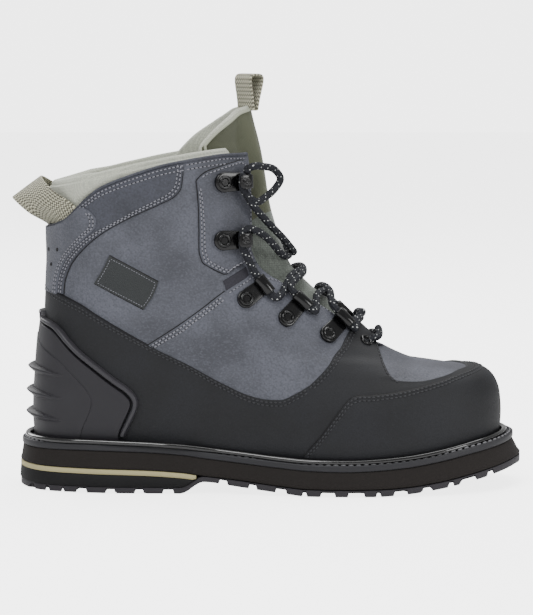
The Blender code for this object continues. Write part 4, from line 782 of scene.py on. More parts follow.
def build_upper():
    """Leather shell: closed rings up to the throat's base, then rows that stop at the throat."""
    angles = round_angles(2 * HALF_COLUMNS)
    theta, ring = np.meshgrid(angles, np.linspace(0, 1, LOW_ROWS) * THROAT_BASE)
    closed_rings = lifted(theta, ring, apron_ridge(theta, ring))
    opened = np.where(np.abs(angles) <= throat_angle(THROAT_BASE))[0]
    inside = angles[opened]
    edge = np.abs(inside).max()
    share = np.linspace(0, 1, HIGH_ROWS + 1)[1:, None]
    ring = THROAT_BASE + (leather_top(inside) - THROAT_BASE) * share
    pull = (edge - throat_angle(ring)) * (np.abs(inside) / edge) ** 4
    open_rows = lifted(np.sign(inside) * (np.abs(inside) - pull), ring, 0.0)
    first = LOW_ROWS * len(angles)
    seam = (LOW_ROWS - 1) * len(angles) + opened
    start = first + np.arange(len(inside))
    faces = np.concatenate([
        quads(LOW_ROWS, len(angles), wrap_columns=True),
        np.stack([seam[:-1], start[:-1], start[1:], seam[1:]], axis=1),
        quads(HIGH_ROWS, len(inside), start=first),
    ])
    points = np.concatenate([closed_rings.reshape(-1, 3), open_rows.reshape(-1, 3)])
    item = mesh_piece("upper_leather", points, faces, LOOKS["leather"])
    item.data.materials.append(LOOKS["lining"])
    wall = item.modifiers.new("wall", "SOLIDIFY")
    wall.thickness = WALL * MM
    wall.offset = -1.0
    wall.material_offset = 1
    wall.material_offset_rim = 0
    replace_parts(item, "upper")


def panel(patch, base, extra=None, top=None):
    """Grid of a Patch that lies base above the leather, under a limit of ring."""
    share = patch.share
    where = patch.at(share)
    if top is not None:
        where[..., 1] = np.minimum(where[..., 1], top(where[..., 0]))
    rise = np.full(share.shape, patch.thickness)
    for rolled, distance in zip(patch.rolls, (share * patch.width, (1 - share) * patch.width)):
        edge = roll(distance, patch.thickness, patch.radius)
        rise = np.where(rolled, np.minimum(rise, edge), rise)
    height = base + rise + (extra(where) if extra else 0.0)
    points = lifted(where[..., 0], where[..., 1], height)
    faces = quads(*share.shape, wrap_columns=patch.wrapped)
    spot = where.reshape(-1, 2)[faces[len(faces) // 2][0]]
    return points, oriented(points, faces, outward(*spot)), where * (0.6, 0.12)


RAND_TOP = np.array((
    (0.0, 7.72), (0.243, 7.54), (0.45, 7.34), (0.679, 7.03), (0.80, 6.62), (0.939, 6.01),
    (1.09, 5.10), (1.252, 4.12), (1.38, 3.28), (1.498, 2.73), (1.565, 2.62), (1.626, 2.65),
    (1.70, 3.02), (1.777, 3.56), (1.84, 3.98), (2.03, 4.02), (2.205, 3.90), (2.249, 3.80), (2.352, 3.72),
    (2.506, 3.92), (2.80, 4.42), (PI, 4.56),
))
TAB_LEFT = ((138.5, 64.5), (141.1, 67.0), (147.2, 72.8), (153.2, 79.6), (156.3, 84.5), (159.3, 87.6),
            (163.5, 94.9), (167.2, 99.4), (171.5, 101.2), (175.0, 100.0))
TAB_RIGHT = ((201.0, 66.0), (196.6, 67.3), (192.6, 69.3), (189.8, 72.3), (187.4, 76.9), (184.4, 84.0),
             (180.4, 93.0), (177.8, 98.0), (175.4, 99.7))


def rand_ring(theta):
    return hermite(RAND_TOP[:, 0], RAND_TOP[:, 1], np.abs(theta))


def apron_lip(where):
    """The rand's top edge round the apron rides up on the seam's ridge."""
    return 0.6 * apron_ridge(where[..., 0], where[..., 1])


def on_side(line, side):
    return line if side < 0 else line * (-1, 1)


# Ring of the panels' lower edges, the seat of what lies over the rand, and the pitch, length and
# thickness of the dark thread's stitches
WELT_RING, OVER_RAND = 0.06, 1.7
DARK_THREAD = (2.8, 2.0, 0.9)


def both_sides(low, high, *make):
    """The same Patch on the outer side and on the inner side."""
    return [Patch(on_side(low, side), on_side(high, side), *make) for _, side in SIDES]


def build_rand():
    """Rand round the foot, with a tab up to the throat on each side. Gives back its stitches."""
    theta = round_angles(440)
    low = np.stack([theta, np.full_like(theta, WELT_RING)], axis=1)
    high = np.stack([theta, rand_ring(theta)], axis=1)
    rolled = ~((np.abs(theta) > 1.83) & (np.abs(theta) < 2.19))
    main = Patch(low, high, 26, OVERLAY, False, rolled, 0.9, wrapped=True)
    edges = [outline(*line, count=44) for line in (TAB_LEFT, TAB_RIGHT)]
    tabs = both_sides(*edges, 22, OVERLAY, True, True, 0.9)
    parts = [panel(patch, GAP, apron_lip) for patch in [main] + tabs]
    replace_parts(joined("rand_panel", parts, LOOKS["rand"]), "rand")
    stitches = []
    for start, end in ((-1.80, 0.0), (0.0, 1.80)):
        picked = np.where((theta > start) & (theta < end))[0]
        painted_edge_shade(main, True, 0.1, picked[0], picked[-1])
    for inset in (1.9, 4.1):
        for start, end in ((-1.76, -0.02), (0.02, 1.76)):
            line = main.line(inset)[(theta > start) & (theta < end)]
            stitches.append(stitch_line(line, 1.9, *DARK_THREAD))
    for tab in tabs:
        for line in (tab.line(1.9, False)[:36], tab.line(4.1, False)[:36], tab.line(1.9)[4:36]):
            stitches.append(stitch_line(line, 1.9, *DARK_THREAD))
        painted_edge_shade(tab, False, 0.1, 0, 42)
    return stitches


CAP_TOP = (
    (138.1, 24.8), (141.1, 29.0), (147.2, 35.7), (153.3, 43.8), (159.3, 51.7), (164.2, 57.3),
    (168.4, 59.7), (177.6, 60.3), (195.8, 61.9), (214.0, 65.3), (226.1, 67.9),
)


def build_cap():
    """Toe cap over the front of the rand, round the toe from one side to the other."""
    front = np.array(((-2.56, 3.70), (-2.80, 4.02), (-PI, 4.20)))
    outer = curve(np.concatenate([outline(*CAP_TOP, count=150)[:-3:6], front]), 240)
    high = np.concatenate([outer, (outer * (-1, 1) - (2 * PI, 0))[::-1][1:]])
    low = np.stack([high[:, 0], np.full(len(high), WELT_RING)], axis=1)
    cap = Patch(low, high, 26, 1.3, False, True, 0.9)
    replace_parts(joined("toe_cap_panel", [panel(cap, OVER_RAND)], LOOKS["rand"]), "toe_cap")
    painted_edge_shade(cap, True, 1.8)
    return [stitch_line(cap.line(inset)[8:-8], 3.1, *DARK_THREAD) for inset in (1.8, 3.9)]


COUNTER_OUTER = (
    (-26.6, 106.6), (-23.6, 106.4), (-18.0, 104.3), (-12.7, 101.8), (-10.3, 99.6), (-5.0, 93.6),
    (0.6, 87.9), (12.8, 78.1), (25.0, 68.8), (31.1, 64.5), (35.3, 59.5), (36.5, 55.8), (35.9, 52.1),
    (32.8, 44.7), (29.7, 38.5), (27.2, 32.4),
)


def counter_line():
    """Outer line of the counter, from the heel's middle to the welt on the outer side."""
    line = outline(*COUNTER_OUTER[1:], count=120)
    start = np.array(((0.0, 6.27), (-0.10, 6.26)))
    return curve(np.concatenate([start, line[4::4]]), 150)


def inset_line(line, inset):
    """The line moved by inset millimetres to its inner side, on the form's face."""
    theta, ring = line.T
    step = 1e-3
    here = form(theta, ring)
    way = unit(np.cross(outward(theta, ring), np.gradient(here, axis=0)))
    by_theta = (form(theta + step, ring) - here) / step
    by_ring = (form(theta, ring + step) - here) / step
    jacobian = np.stack([by_theta, by_ring], axis=-1)
    square = np.einsum("nij,nik->njk", jacobian, jacobian)
    right = np.einsum("nij,ni->nj", jacobian, way * inset)
    return line + np.linalg.solve(square, right[..., None])[..., 0]


FIN_RISES, FIN_HALF = (73.1, 58.6, 45.3), 0.56


def heel_fins():
    """Three ledges round the back of the counter: a rounded wedge swept round the heel, that tapers
    to nothing on both sides and drops a little as it goes forward."""
    parts = []
    theta = np.linspace(-FIN_HALF, FIN_HALF, 61)
    angle = np.linspace(-PI / 2, PI / 2, 13)[:, None]
    rings = np.linspace(0, 6, 60)
    heights = form(np.zeros(60), rings)[:, 2]
    swell = np.cos(theta / FIN_HALF * PI / 2) ** 0.9
    out = 5.0 * swell * (1 - np.abs(np.sin(angle)) ** 1.3) - 0.2
    up = 3.6 * np.sin(angle) * (0.25 + 0.75 * swell) + 1.2 * (np.cos(angle) - 0.5)
    for z in FIN_RISES:
        ring = np.interp(z - 3.0 * (theta / FIN_HALF) ** 2, heights, rings)
        root, facing = lifted(theta, ring, 4.2), outward(theta, ring)
        points = root + facing * out[..., None] + np.array((0, 0, 1.0)) * up[..., None]
        parts.append((points, oriented(points, quads(13, 61), outward(0.0, 3.0))))
    return parts


STEP_LINE = ((-17.7, 85.5), (-11.6, 81.1), (-5.6, 75.0), (0.5, 68.8), (4.7, 63.9),
             (7.8, 58.9), (8.4, 55.2), (6.5, 47.8), (3.4, 41.6), (0.8, 34.8))


def counter_foot(line):
    """Line along the welt under a line of the counter, with as many points."""
    share = np.linspace(0, 1, len(line))
    return np.stack([line[-1, 0] * share ** 1.15, np.full(len(line), 0.12)], axis=1)


def build_counter():
    """Counter: a plate with a second step and ledges on it, inside a raised rim."""
    half = counter_line()
    lines = [half, inset_line(half, -3.6), inset_line(half, -4.4)]
    lines = [np.maximum(line, (-np.inf, 0.10)) for line in lines]
    step = np.concatenate([[(0.0, 5.05)], outline(*STEP_LINE, count=60)])
    step = curve(np.maximum(step, (-np.inf, 0.12)), 100)
    rims, plates = [], []
    for _, side in SIDES:
        outer, inner, plate, raised = [on_side(line, side) for line in lines + [step]]
        rims.append(panel(Patch(inner, outer, 8, 3.6, True, True, 1.3), OVER_RAND))
        plates.append(panel(Patch(counter_foot(plate), plate, 44, 2.6, False, True, 1.0), OVER_RAND))
        plates.append(panel(Patch(counter_foot(raised), raised, 40, 1.2, False, True, 0.7), 3.6))
    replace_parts(joined("counter_rim", rims, LOOKS["rim"]), "heel_counter_rim")
    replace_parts(joined("counter_plate", plates + heel_fins(), LOOKS["counter"]), "heel_counter")


BAND = ((64.1, 202.3), (63.5, 192.0), (62.2, 186.0), (59.8, 183.0), (50.1, 177.5), (37.9, 172.0),
        (25.8, 166.0), (13.6, 158.7), (7.5, 153.8), (1.4, 147.7), (-3.5, 141.6), (-7.2, 134.3),
        (-9.1, 128.2), (-9.7, 120.9))
HEEL_TAB = ((3.6, 175.3), (8.5, 172.2), (11.5, 168.0), (11.4, 163.7), (5.9, 157.6), (-2.1, 149.0),
            (-7.6, 141.7), (-11.3, 133.7), (-12.6, 127.6), (-13.3, 120.4))
QUARTER = ((38.0, 88.4), (42.5, 91.2), (56.0, 99.8), (74.2, 112.6), (89.4, 124.2), (104.6, 133.4))


# Pitch and length of the pale thread's stitches
PALE_THREAD = (2.5, 1.8)


def below_top(drop):
    return lambda theta: leather_top(theta) - drop


def build_band():
    """Darker collar band on both sides, down to the rand at the heel, and the heel tab over it."""
    line = outline(*BAND, count=130)
    line[:, 1] = np.minimum(line[:, 1], leather_top(line[:, 0]) - 0.02)
    first = line[0, 0]
    theta = np.linspace(first, 0.0, 90)
    top = np.stack([theta, leather_top(theta) - 0.03], axis=1)
    back = np.stack([np.zeros(41), np.linspace(leather_top(0.0) - 0.03, 7.4, 41)], axis=1)[1:]
    # Start, end and height of the stitches under the collar's top, on the band and on the leather
    top_rows = ((first, -0.82, 1.4), (0.06 - throat_angle(11.9), first - 0.02, 0.15))
    bands = both_sides(line, np.concatenate([top, back]), 40, 1.3, True, False, 0.7)
    stitches = []
    for band, (_, side) in zip(bands, SIDES):
        painted_edge_shade(band, False, 0.0, 3)
        for start, end, height in top_rows:
            theta = np.linspace(start, end, 120)
            for drop in (0.075, 0.165):
                edge = np.stack([theta, leather_top(theta) - drop], axis=1)
                stitches.append(stitch_line(on_side(edge, side), height, *PALE_THREAD))
        for inset in (1.7, 3.6):
            stitches.append(stitch_line(band.line(inset, False)[2:], 1.4, *PALE_THREAD))
    parts = [panel(band, 0.0, None, below_top(0.03)) for band in bands]
    joined("collar_band", parts, LOOKS["band"])
    edge = outline(*HEEL_TAB, count=90)
    edge[:, 1] = np.minimum(edge[:, 1], leather_top(edge[:, 0]) - 0.03)
    tab = Patch(edge, edge * (-1, 1), 40, 1.0, True, True, 0.7)
    joined("heel_tab", [panel(tab, 1.0, None, below_top(0.04))], LOOKS["leather"])
    for high in (False, True):
        painted_edge_shade(tab, high, 0.6, 4)
    for inset in (1.7, 3.5):
        for high in (False, True):
            stitches.append(stitch_line(tab.line(inset, high)[8:], 2.1, *PALE_THREAD))
    return stitches


EYESTAY_BACK = ((71.9, 191.4), (72.5, 186.0), (73.0, 179.7), (73.6, 161.4), (74.7, 144.3), (76.5, 141.0),
                (79.0, 139.4), (84.0, 136.6), (88.7, 134.5), (92.2, 136.3), (95.4, 138.2), (98.0, 140.2),
                (100.3, 141.9), (102.3, 142.0), (104.4, 140.9))
EYESTAY_TOP = ((71.9, 191.4), (74.6, 194.4), (77.6, 196.6), (85.5, 199.4), (94.0, 202.0), (99.0, 203.0))


def build_eyestay():
    """Front collar panel under the hooks, between its back line and the throat's edge."""
    low = curve(outline(*EYESTAY_BACK), 90)
    ring = np.linspace(11.62, low[-1, 1], 16)
    throat = np.stack([-throat_angle(ring) + 0.012, ring], axis=1)
    high = curve(np.concatenate([outline(*EYESTAY_TOP), throat]), 90)
    patches = both_sides(low, high, 34, OVERLAY, True, True, 1.0)
    stitches = []
    for patch in patches:
        painted_edge_shade(patch, False, 0.2)
        painted_edge_shade(patch, True, 0.2, 0, 34)
        for line in (patch.line(1.8, False)[6:-6], patch.line(3.8, False)[6:-6], patch.line(2.0)[4:-4]):
            stitches.append(stitch_line(line, 1.78))
    parts = [panel(patch, 0.2, None, below_top(0.04)) for patch in patches]
    item = joined("front_panels", parts, LOOKS["eyestay"])
    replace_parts(item, "eyestay_outer", "eyestay_inner")
    return stitches


def build_quarter():
    """Lower quarter panel between the double-stitched seam, the rand and the throat's edge."""
    seam = outline(*QUARTER, count=70)
    ring = np.linspace(seam[-1, 1], 7.9, 40)
    throat = np.stack([-throat_angle(ring) + 0.012, ring], axis=1)[1:]
    high = curve(np.concatenate([seam[::3], throat[::3]]), 140)
    theta = np.linspace(-1.06, -2.32, 140)
    tab = outline(*TAB_LEFT, count=60) - (-0.06, 0.15)
    rand_edge = np.stack([theta, rand_ring(theta) - 0.25], axis=1)[np.abs(theta) < 1.80]
    low = curve(np.concatenate([rand_edge[::4], tab[6:54:4] + (-0.10, 0.0)]), 140)
    patches = both_sides(low, high, 36, 1.0, False, True, 0.7)
    stitches = []
    for patch in patches:
        painted_edge_shade(patch, True, 0.0, 0, 84)
        for inset in (1.6, 3.4):
            stitches.append(stitch_line(patch.line(inset)[:80], 1.1, 2.5, 1.9, 0.95))
        stitches.append(stitch_line(patch.line(2.0)[84:], 1.1, *PALE_THREAD))
    joined("quarter_panels", [panel(patch, 0.0) for patch in patches], LOOKS["leather"])
    return stitches


VENTS = ((-12.4, 148.3), (-16.6, 138.6), (-18.2, 147.7))


def vent_hole_shade():
    """Pinholes in the heel leather on both sides: dark discs that are painted shade in the holes."""
    parts = []
    for _, side in SIDES:
        for spot in VENTS:
            place, facing = seat(*spot, side, 2.05)
            rows = frame_of(place, facing, np.array((1.0, 0.0, 0.0)))
            line = ((0.02, 0.05), (0.7, 0.12), (1.0, 0.3), (1.15, 0.1), (1.2, -0.4))
            parts.append(shaped(rows, *lathe(line, 16)))
    return parts


FLEX = (((90.5, 123.4), (105.0, 130.3)), ((88.0, 130.3), (101.8, 138.4)))


def build_flex():
    """Dark stretch insert between the front panel and the lower quarter, on both sides."""
    low, high = [located(np.linspace(*edge, 24)) for edge in FLEX]
    parts = [panel(patch, 0.1) for patch in both_sides(low, high, 12, 0.5, True, True, 0.5)]
    joined("flex_inserts", parts, LOOKS["flex"])


PATCH_CORNERS = ((19.0, 145.9), (48.7, 130.0), (39.5, 112.9), (9.8, 128.8))


def build_patch():
    """Bare woven patch on the outer side, with a stitched border."""
    corners = np.array(PATCH_CORNERS)
    lower_edge, upper_edge = [np.linspace(corners[k], corners[j], 50) for k, j in ((3, 2), (0, 1))]
    patch = Patch(located(lower_edge), located(upper_edge), 26, 0.9, True, True, 0.5)
    points, faces, _ = panel(patch, 0.1)
    for high in (False, True):
        painted_edge_shade(patch, high, 0.0)
    # The patch's own uv, in units of 100 mm
    uv = np.moveaxis(np.stack(np.meshgrid(np.linspace(0, 0.34, 50), patch.share[:, 0] * 0.195)), 0, -1)
    item = joined("bare_patch", [(points, faces, uv)], LOOKS["label"])
    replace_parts(item, "label_patch")
    share = np.linspace(0.1, 0.9, 20)[:, None]
    ends = [patch.low[column] + (patch.high[column] - patch.low[column]) * share for column in (2, 47)]
    rows = [patch.at(np.full(50, 0.93))[2:-2], patch.at(np.full(50, 0.07))[2:-2][::-1]] + ends
    return [stitch_line(row, 1.1, 1.7, 1.2, 0.4) for row in rows]


# Sole

SOLE_ANGLES = np.linspace(-PI, PI, 420, endpoint=False)


def sole_point(theta, grow):
    """Plan of the sole with grow added all round: x and y."""
    share = (1 - np.cos(theta)) / 2
    length = SOLE_LENGTH + 2 * grow
    ends = [np.sqrt(radius * SOLE_WIDTH * length / 2) * np.ones(np.shape(theta))
            for radius in (SOLE_OUTER[0], SOLE_OUTER[-1])]
    widths = [np.asarray(side[1:-1])[:, None] * SOLE_WIDTH + grow * np.ones(np.shape(theta))
              for side in (SOLE_OUTER, SOLE_INNER)]
    x = SOLE_BACK - grow + length * share
    y = oval(theta, ends, *widths)
    return x, y + sole_swing(x)


def sole_swing(x):
    return TOE_SWING * smoothstep(0.55, 1.0, (x - SOLE_BACK) / SOLE_LENGTH)


def flare(theta):
    return 1.2 + 3.3 * smoothstep(0.8, 1.0, (1 - np.cos(theta)) / 2)


def layer(rows, theta):
    """Band of the sole's side: rows from the bottom inside to the top inside, each a grow and a
    height over x, carried round theta."""
    grid = []
    for grow, height in rows:
        x, y = sole_point(theta, grow(theta) if callable(grow) else np.full_like(theta, grow))
        grid.append(np.stack([x, y, height(x)], axis=1))
    points = np.array(grid)
    spot = len(theta) // 4 * 3
    facing = np.array((0.0, np.sign(math.sin(theta[spot])), 0.0))
    faces = quads(len(rows), len(theta), wrap_columns=True)
    uv = np.stack(np.broadcast_arrays(theta[None] * 0.5, np.arange(len(rows))[:, None] * 0.1), axis=-1)
    return points, oriented(points, faces, facing, (len(rows) // 2 - 1) * len(theta) + spot), uv


def over(column, change=0.0):
    return lambda x: profile(column, x) + change


# Section of the welt: how far out from the sole's plan, and how far over the welt's top
WELT_SECTION = (
    (-9.0, -WELT), (-1.4, -WELT), (-0.6, 0.3 - WELT), (-0.1, 0.7 - WELT), (0.0, 1.2 - WELT), (0.0, -0.8),
    (-0.15, -0.35), (-0.5, -0.08), (-1.0, 0.0), (-1.3, -0.3), (-2.5, -0.3), (-2.9, 0.0), (-4.4, 0.0),
    (-12.0, 0.0),
)


def build_welt():
    """Welt strip with a groove along its top, and the stitches that lie in the groove."""
    rows = [(grow, over(WELT_TOP, change)) for grow, change in WELT_SECTION]
    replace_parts(joined("welt_strip", [layer(rows, SOLE_ANGLES)], LOOKS["welt"]), "welt")
    x, y = sole_point(np.append(SOLE_ANGLES, SOLE_ANGLES[0]), -1.9)
    spot, ahead, _, _ = spaced(np.stack([x, y, profile(WELT_TOP, x) + 0.1], axis=1), 4.6, probe=1.0)
    up = np.tile((0.0, 0.0, 1.0), (len(spot), 1))
    joined("welt_stitches", [placed(bead_template(8, 7), spot, ahead, up, (3.3, 1.3, 1.5))],
           LOOKS["thread_welt"])


def build_midsole():
    """Foam between welt and tread, its side a little hollow, with a rounded lower edge."""
    top = -WELT + 0.05

    def flared(share, change):
        return lambda theta: flare(theta) * share + change

    def halfway(x):
        return (profile(FOAM_LOW, x) + profile(WELT_TOP, x) + top) * 0.5

    rows = (
        (-9.0, over(FOAM_LOW, 0.1)), (flared(1.0, -1.0), over(FOAM_LOW, 0.1)),
        (flared(1.0, -0.3), over(FOAM_LOW, 0.35)), (flare, over(FOAM_LOW, 1.1)),
        (flared(0.72, -0.35), over(FOAM_LOW, 3.0)), (flared(0.5, -0.4), halfway),
        (-0.5, over(WELT_TOP, top - 0.7)), (-0.8, over(WELT_TOP, top)), (-9.0, over(WELT_TOP, top)),
    )
    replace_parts(joined("midsole_foam", [layer(rows, SOLE_ANGLES)], LOOKS["foam"]), "midsole")


def heel_angles(end, count=180):
    """Angles round the heel up to a share of the sole's length, from the inner side to the outer."""
    last = math.acos(1 - 2 * end)
    return np.linspace(-last, last, count)


def build_heel():
    """Stripe and lift, whose front ends thin out on the tread where it rises at the heel's breast."""
    def above_tread(column, change):
        return lambda x: np.maximum(profile(column, x) + change, profile(TREAD_TOP, x) + 0.1)

    low, base = above_tread(FOAM_LOW, -0.2), above_tread(FOAM_LOW, -3.3)
    rows = (
        (-8.0, base), (0.9, base), (1.15, above_tread(FOAM_LOW, -3.0)), (1.2, above_tread(FOAM_LOW, -1.8)),
        (1.1, above_tread(FOAM_LOW, -0.5)), (0.8, low), (-8.0, low),
    )
    item = joined("khaki_stripe", [layer(rows, heel_angles(0.358))], LOOKS["stripe"])
    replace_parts(item, "heel_stripe")
    bottom, top = above_tread(TREAD_TOP, 0.1), above_tread(FOAM_LOW, -3.5)
    rows = (
        (-8.0, bottom), (1.3, bottom), (1.7, lambda x: bottom(x) * 0.92 + top(x) * 0.08),
        (1.5, lambda x: (bottom(x) + top(x)) / 2), (1.2, lambda x: top(x) * 0.95 + bottom(x) * 0.05),
        (0.9, top), (-8.0, top),
    )
    item = joined("rubber_lift", [layer(rows, heel_angles(0.360))], LOOKS["lift"])
    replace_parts(item, "heel_lift")


GROOVE_SIDE = (
    (0.055, 0.061), (0.088, 0.091), (0.118, 0.138), (0.177, 0.195), (0.235, 0.252),
    (0.291, 0.312), (0.403, 0.419), (0.462, 0.477), (0.515, 0.536), (0.568, 0.576),
    (0.604, 0.632), (0.658, 0.690), (0.714, 0.722), (0.749, 0.775), (0.806, 0.824),
    (0.858, 0.868), (0.884, 0.914), (0.938, 0.950),
)
GROOVE_MIDDLE = (
    (0.070, 0.084), (0.152, 0.170), (0.225, 0.243), (0.290, 0.345), (0.415, 0.435),
    (0.490, 0.510), (0.560, 0.580), (0.635, 0.655), (0.705, 0.725), (0.775, 0.795), (0.845, 0.865),
    (0.910, 0.925),
)
SIDE_LUG = 0.225


def cut(x, grooves, soft=0.45):
    """1 inside the grooves along x, 0 on the lugs, with sloping walls soft millimetres wide."""
    depth = np.zeros_like(x)
    for low, high in SOLE_BACK + SOLE_LENGTH * np.array(grooves):
        opened = smoothstep(low - soft, low + soft, x)
        depth = np.maximum(depth, opened * smoothstep(high + soft, high - soft, x))
    return depth


def tread_low(x, y):
    """Height of the tread's underside: the ground line, raised in the grooves and the channels."""
    channel = SIDE_LUG * SOLE_WIDTH
    out = np.abs(y - sole_swing(x))
    side = cut(x, GROOVE_SIDE) * smoothstep(channel - 0.8, channel + 0.8, out)
    middle = cut(x, GROOVE_MIDDLE) * smoothstep(channel + 0.8, channel - 0.8, out)
    lane = smoothstep(2.2, 1.2, np.abs(out - channel))
    ends = smoothstep(-36.0, -30.0, x) * smoothstep(262.0, 256.0, x)
    return profile(GROUND, x) + LUG_DEPTH * np.maximum(np.maximum(side, middle), lane * ends)


def tread_angles(count):
    """Angles of the sole's stations, close together at each groove's walls."""
    walls = np.array(GROOVE_SIDE + GROOVE_MIDDLE).reshape(-1, 1) + (-0.0026, -0.0013, 0.0, 0.0013, 0.0026)
    angles = np.concatenate([np.linspace(0.0, PI, count), np.arccos(1 - 2 * walls).ravel()])
    return np.unique(np.round(angles, 4))


# Section of the tread's side: share of the way up from the ground, and how far in from its edge
TREAD_SECTION = ((0.0, 0.5), (0.06, 0.15), (0.2, 0.0), (0.6, 0.1), (0.92, 0.25), (1.0, 0.7))


def build_tread():
    """Tread: its underside from edge to edge, and a wall up each side with the grooves' notches."""
    theta = tread_angles(200)
    x, outer = sole_point(-theta, flare(theta))
    _, inner = sole_point(theta, flare(theta))
    swing = sole_swing(x)
    channel = SIDE_LUG * SOLE_WIDTH
    fixed = (0.0, 8.0, 16.0, channel - 2.3, channel - 1.1, channel + 1.1, channel + 2.3, 32.0, 40.0, 48.0)
    halves = []
    for side, edge in ((OUTER, np.abs(outer - swing)), (INNER, np.abs(inner - swing))):
        offsets = [side * np.minimum(value, edge * (0.5 + 0.045 * k)) for k, value in enumerate(fixed)]
        halves.append(offsets + [side * np.maximum(edge - 0.5, 0.0)])
    y = swing + np.array(halves[0][::-1] + halves[1][1:])
    wide = np.broadcast_to(x, y.shape)
    under = np.stack([wide, y, tread_low(wide, y)], axis=-1)
    parts = [(under, oriented(under, quads(*under.shape[:2]), np.array((0.0, 0.0, -1.0))))]
    top = np.minimum(profile(TREAD_TOP, x), profile(FOAM_LOW, x) - 0.2)
    for side, edge in ((OUTER, outer), (INNER, inner)):
        first = tread_low(x, edge)
        notch = 1.2 * (first - profile(GROUND, x)) / LUG_DEPTH
        wall = []
        for share, inset in TREAD_SECTION:
            away = np.minimum(inset + notch * smoothstep(0.75, 0.35, share), np.abs(edge - swing))
            wall.append(np.stack([x, edge - side * away, first + (top - first) * share], axis=-1))
        wall.append(np.stack([x, swing + (edge - swing) * 0.7, top], axis=-1))
        wall = np.array(wall)
        parts.append((wall, oriented(wall, quads(*wall.shape[:2]), np.array((0.0, side, 0.0)))))
    item = joined("rubber_tread", parts, LOOKS["tread"])
    item.data.set_sharp_from_angle(angle=math.radians(32))
    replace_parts(item, "outsole")


def bead_path(count):
    """Line of the bead in the corner between the welt and the upper's panels."""
    theta = np.linspace(-PI, PI, count, endpoint=False)
    turn = np.abs(theta)
    over_rand = OVERLAY_GAP * 2 + OVERLAY + GAP + 1.1
    counter = OVERLAY_GAP + COUNTER_WALL + COUNTER_RIM + GAP
    away = over_rand + OVERLAY * smoothstep(1.45, 1.65, turn)
    away = away + counter * (1 - smoothstep(1.1, 1.35, turn))
    place = form(theta, 0.0) + unit(outward(theta, 0.3) * (1, 1, 0)) * away[:, None]
    place[:, 2] = profile(WELT_TOP, place[:, 0]) + 1.5
    return place


def build_bead():
    part = tube(bead_path(360), 1.6, 14, closed=True)
    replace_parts(joined("gloss_bead", [part], LOOKS["bead"]), "welt_bead")


def footbed_rim(theta):
    return form(theta, 0.15) - outward(theta, 0.15) * (WALL + 7 * GAP) * (1, 1, 0)


def build_footbed():
    """Footbed: rings that shrink to its middle line, with a rolled edge."""
    x, y, _ = footbed_rim(np.linspace(-PI, PI, 240, endpoint=False)).T
    share = np.array((0.0, 0.01, 0.03, 0.06, 0.12, 0.25, 0.45, 0.7, 0.98))[:, None]
    y = y + (sole_swing(x) - y) * share
    x = np.broadcast_to(x, y.shape)
    points = np.stack([x, y, profile(WELT_TOP, x) + 4.3 - 3.6 * np.exp(-share * 60)], axis=-1)
    faces = oriented(points, quads(9, 240, wrap_columns=True), np.array((0.0, 0.0, 1.0)))
    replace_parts(joined("footbed", [(points, faces)], LOOKS["lining"]), "insole")


# Cuff, tongue and loops

# Each row of the cuff: rings over the leather's top and over the cuff's, the share of the second, and
# the share of its full wall
CUFF_ROWS = np.array((
    (-1.6, 0.0, 0.0, 0.45), (-0.9, 0.0, 0.0, 0.9), (-0.1, 0.0, 0.0, 1.0),
    (0.0, -0.40, 0.55, 1.0), (0.0, -0.12, 1.0, 1.0), (0.0, 0.0, 1.0, 0.75),
))


def rim_of(grid):
    """What a grid holds round its edge, once round."""
    return np.concatenate([grid[0], grid[1:, -1], grid[-1, -2::-1], grid[-2:0:-1, 0]])


def sheet_parts(outer, inner, uv):
    """A thick sheet as three grids: its outer face, its inner face, and the edge between them, which
    is half round and stands out by half the thickness."""
    inward = np.concatenate([outer[1] - outer[0], (outer[:, -2] - outer[:, -1])[1:],
                             (outer[-2] - outer[-1])[-2::-1], (outer[:, 1] - outer[:, 0])[-2:0:-1]])
    inward /= np.maximum(np.linalg.norm(inward, axis=1, keepdims=True), 1e-6)
    half = (rim_of(outer) - rim_of(inner)) / 2
    thick = np.linalg.norm(half, axis=1, keepdims=True)
    share = np.array((1.0, 0.92, 0.7, 0.38, 0.0, -0.38, -0.7, -0.92, -1.0))[:, None, None]
    band = (rim_of(outer) + rim_of(inner)) / 2 + half * share - inward * thick * np.sqrt(1 - share ** 2)
    faces, rim = quads(*outer.shape[:2]), quads(*band.shape[:2], wrap_columns=True)
    middle = (outer.shape[0] // 2, outer.shape[1] // 2)
    facing = outer[middle] - inner[middle]
    spot = rim[len(rim) // 2][0]
    away = band.reshape(-1, 3)[spot] - (band[0] + band[-1])[spot % band.shape[1]] / 2
    return [
        (outer, oriented(outer, faces, facing), uv),
        (inner, oriented(inner, faces, -facing), uv),
        (band, oriented(band, rim, away), np.broadcast_to(rim_of(uv), band.shape[:2] + (2,))),
    ]


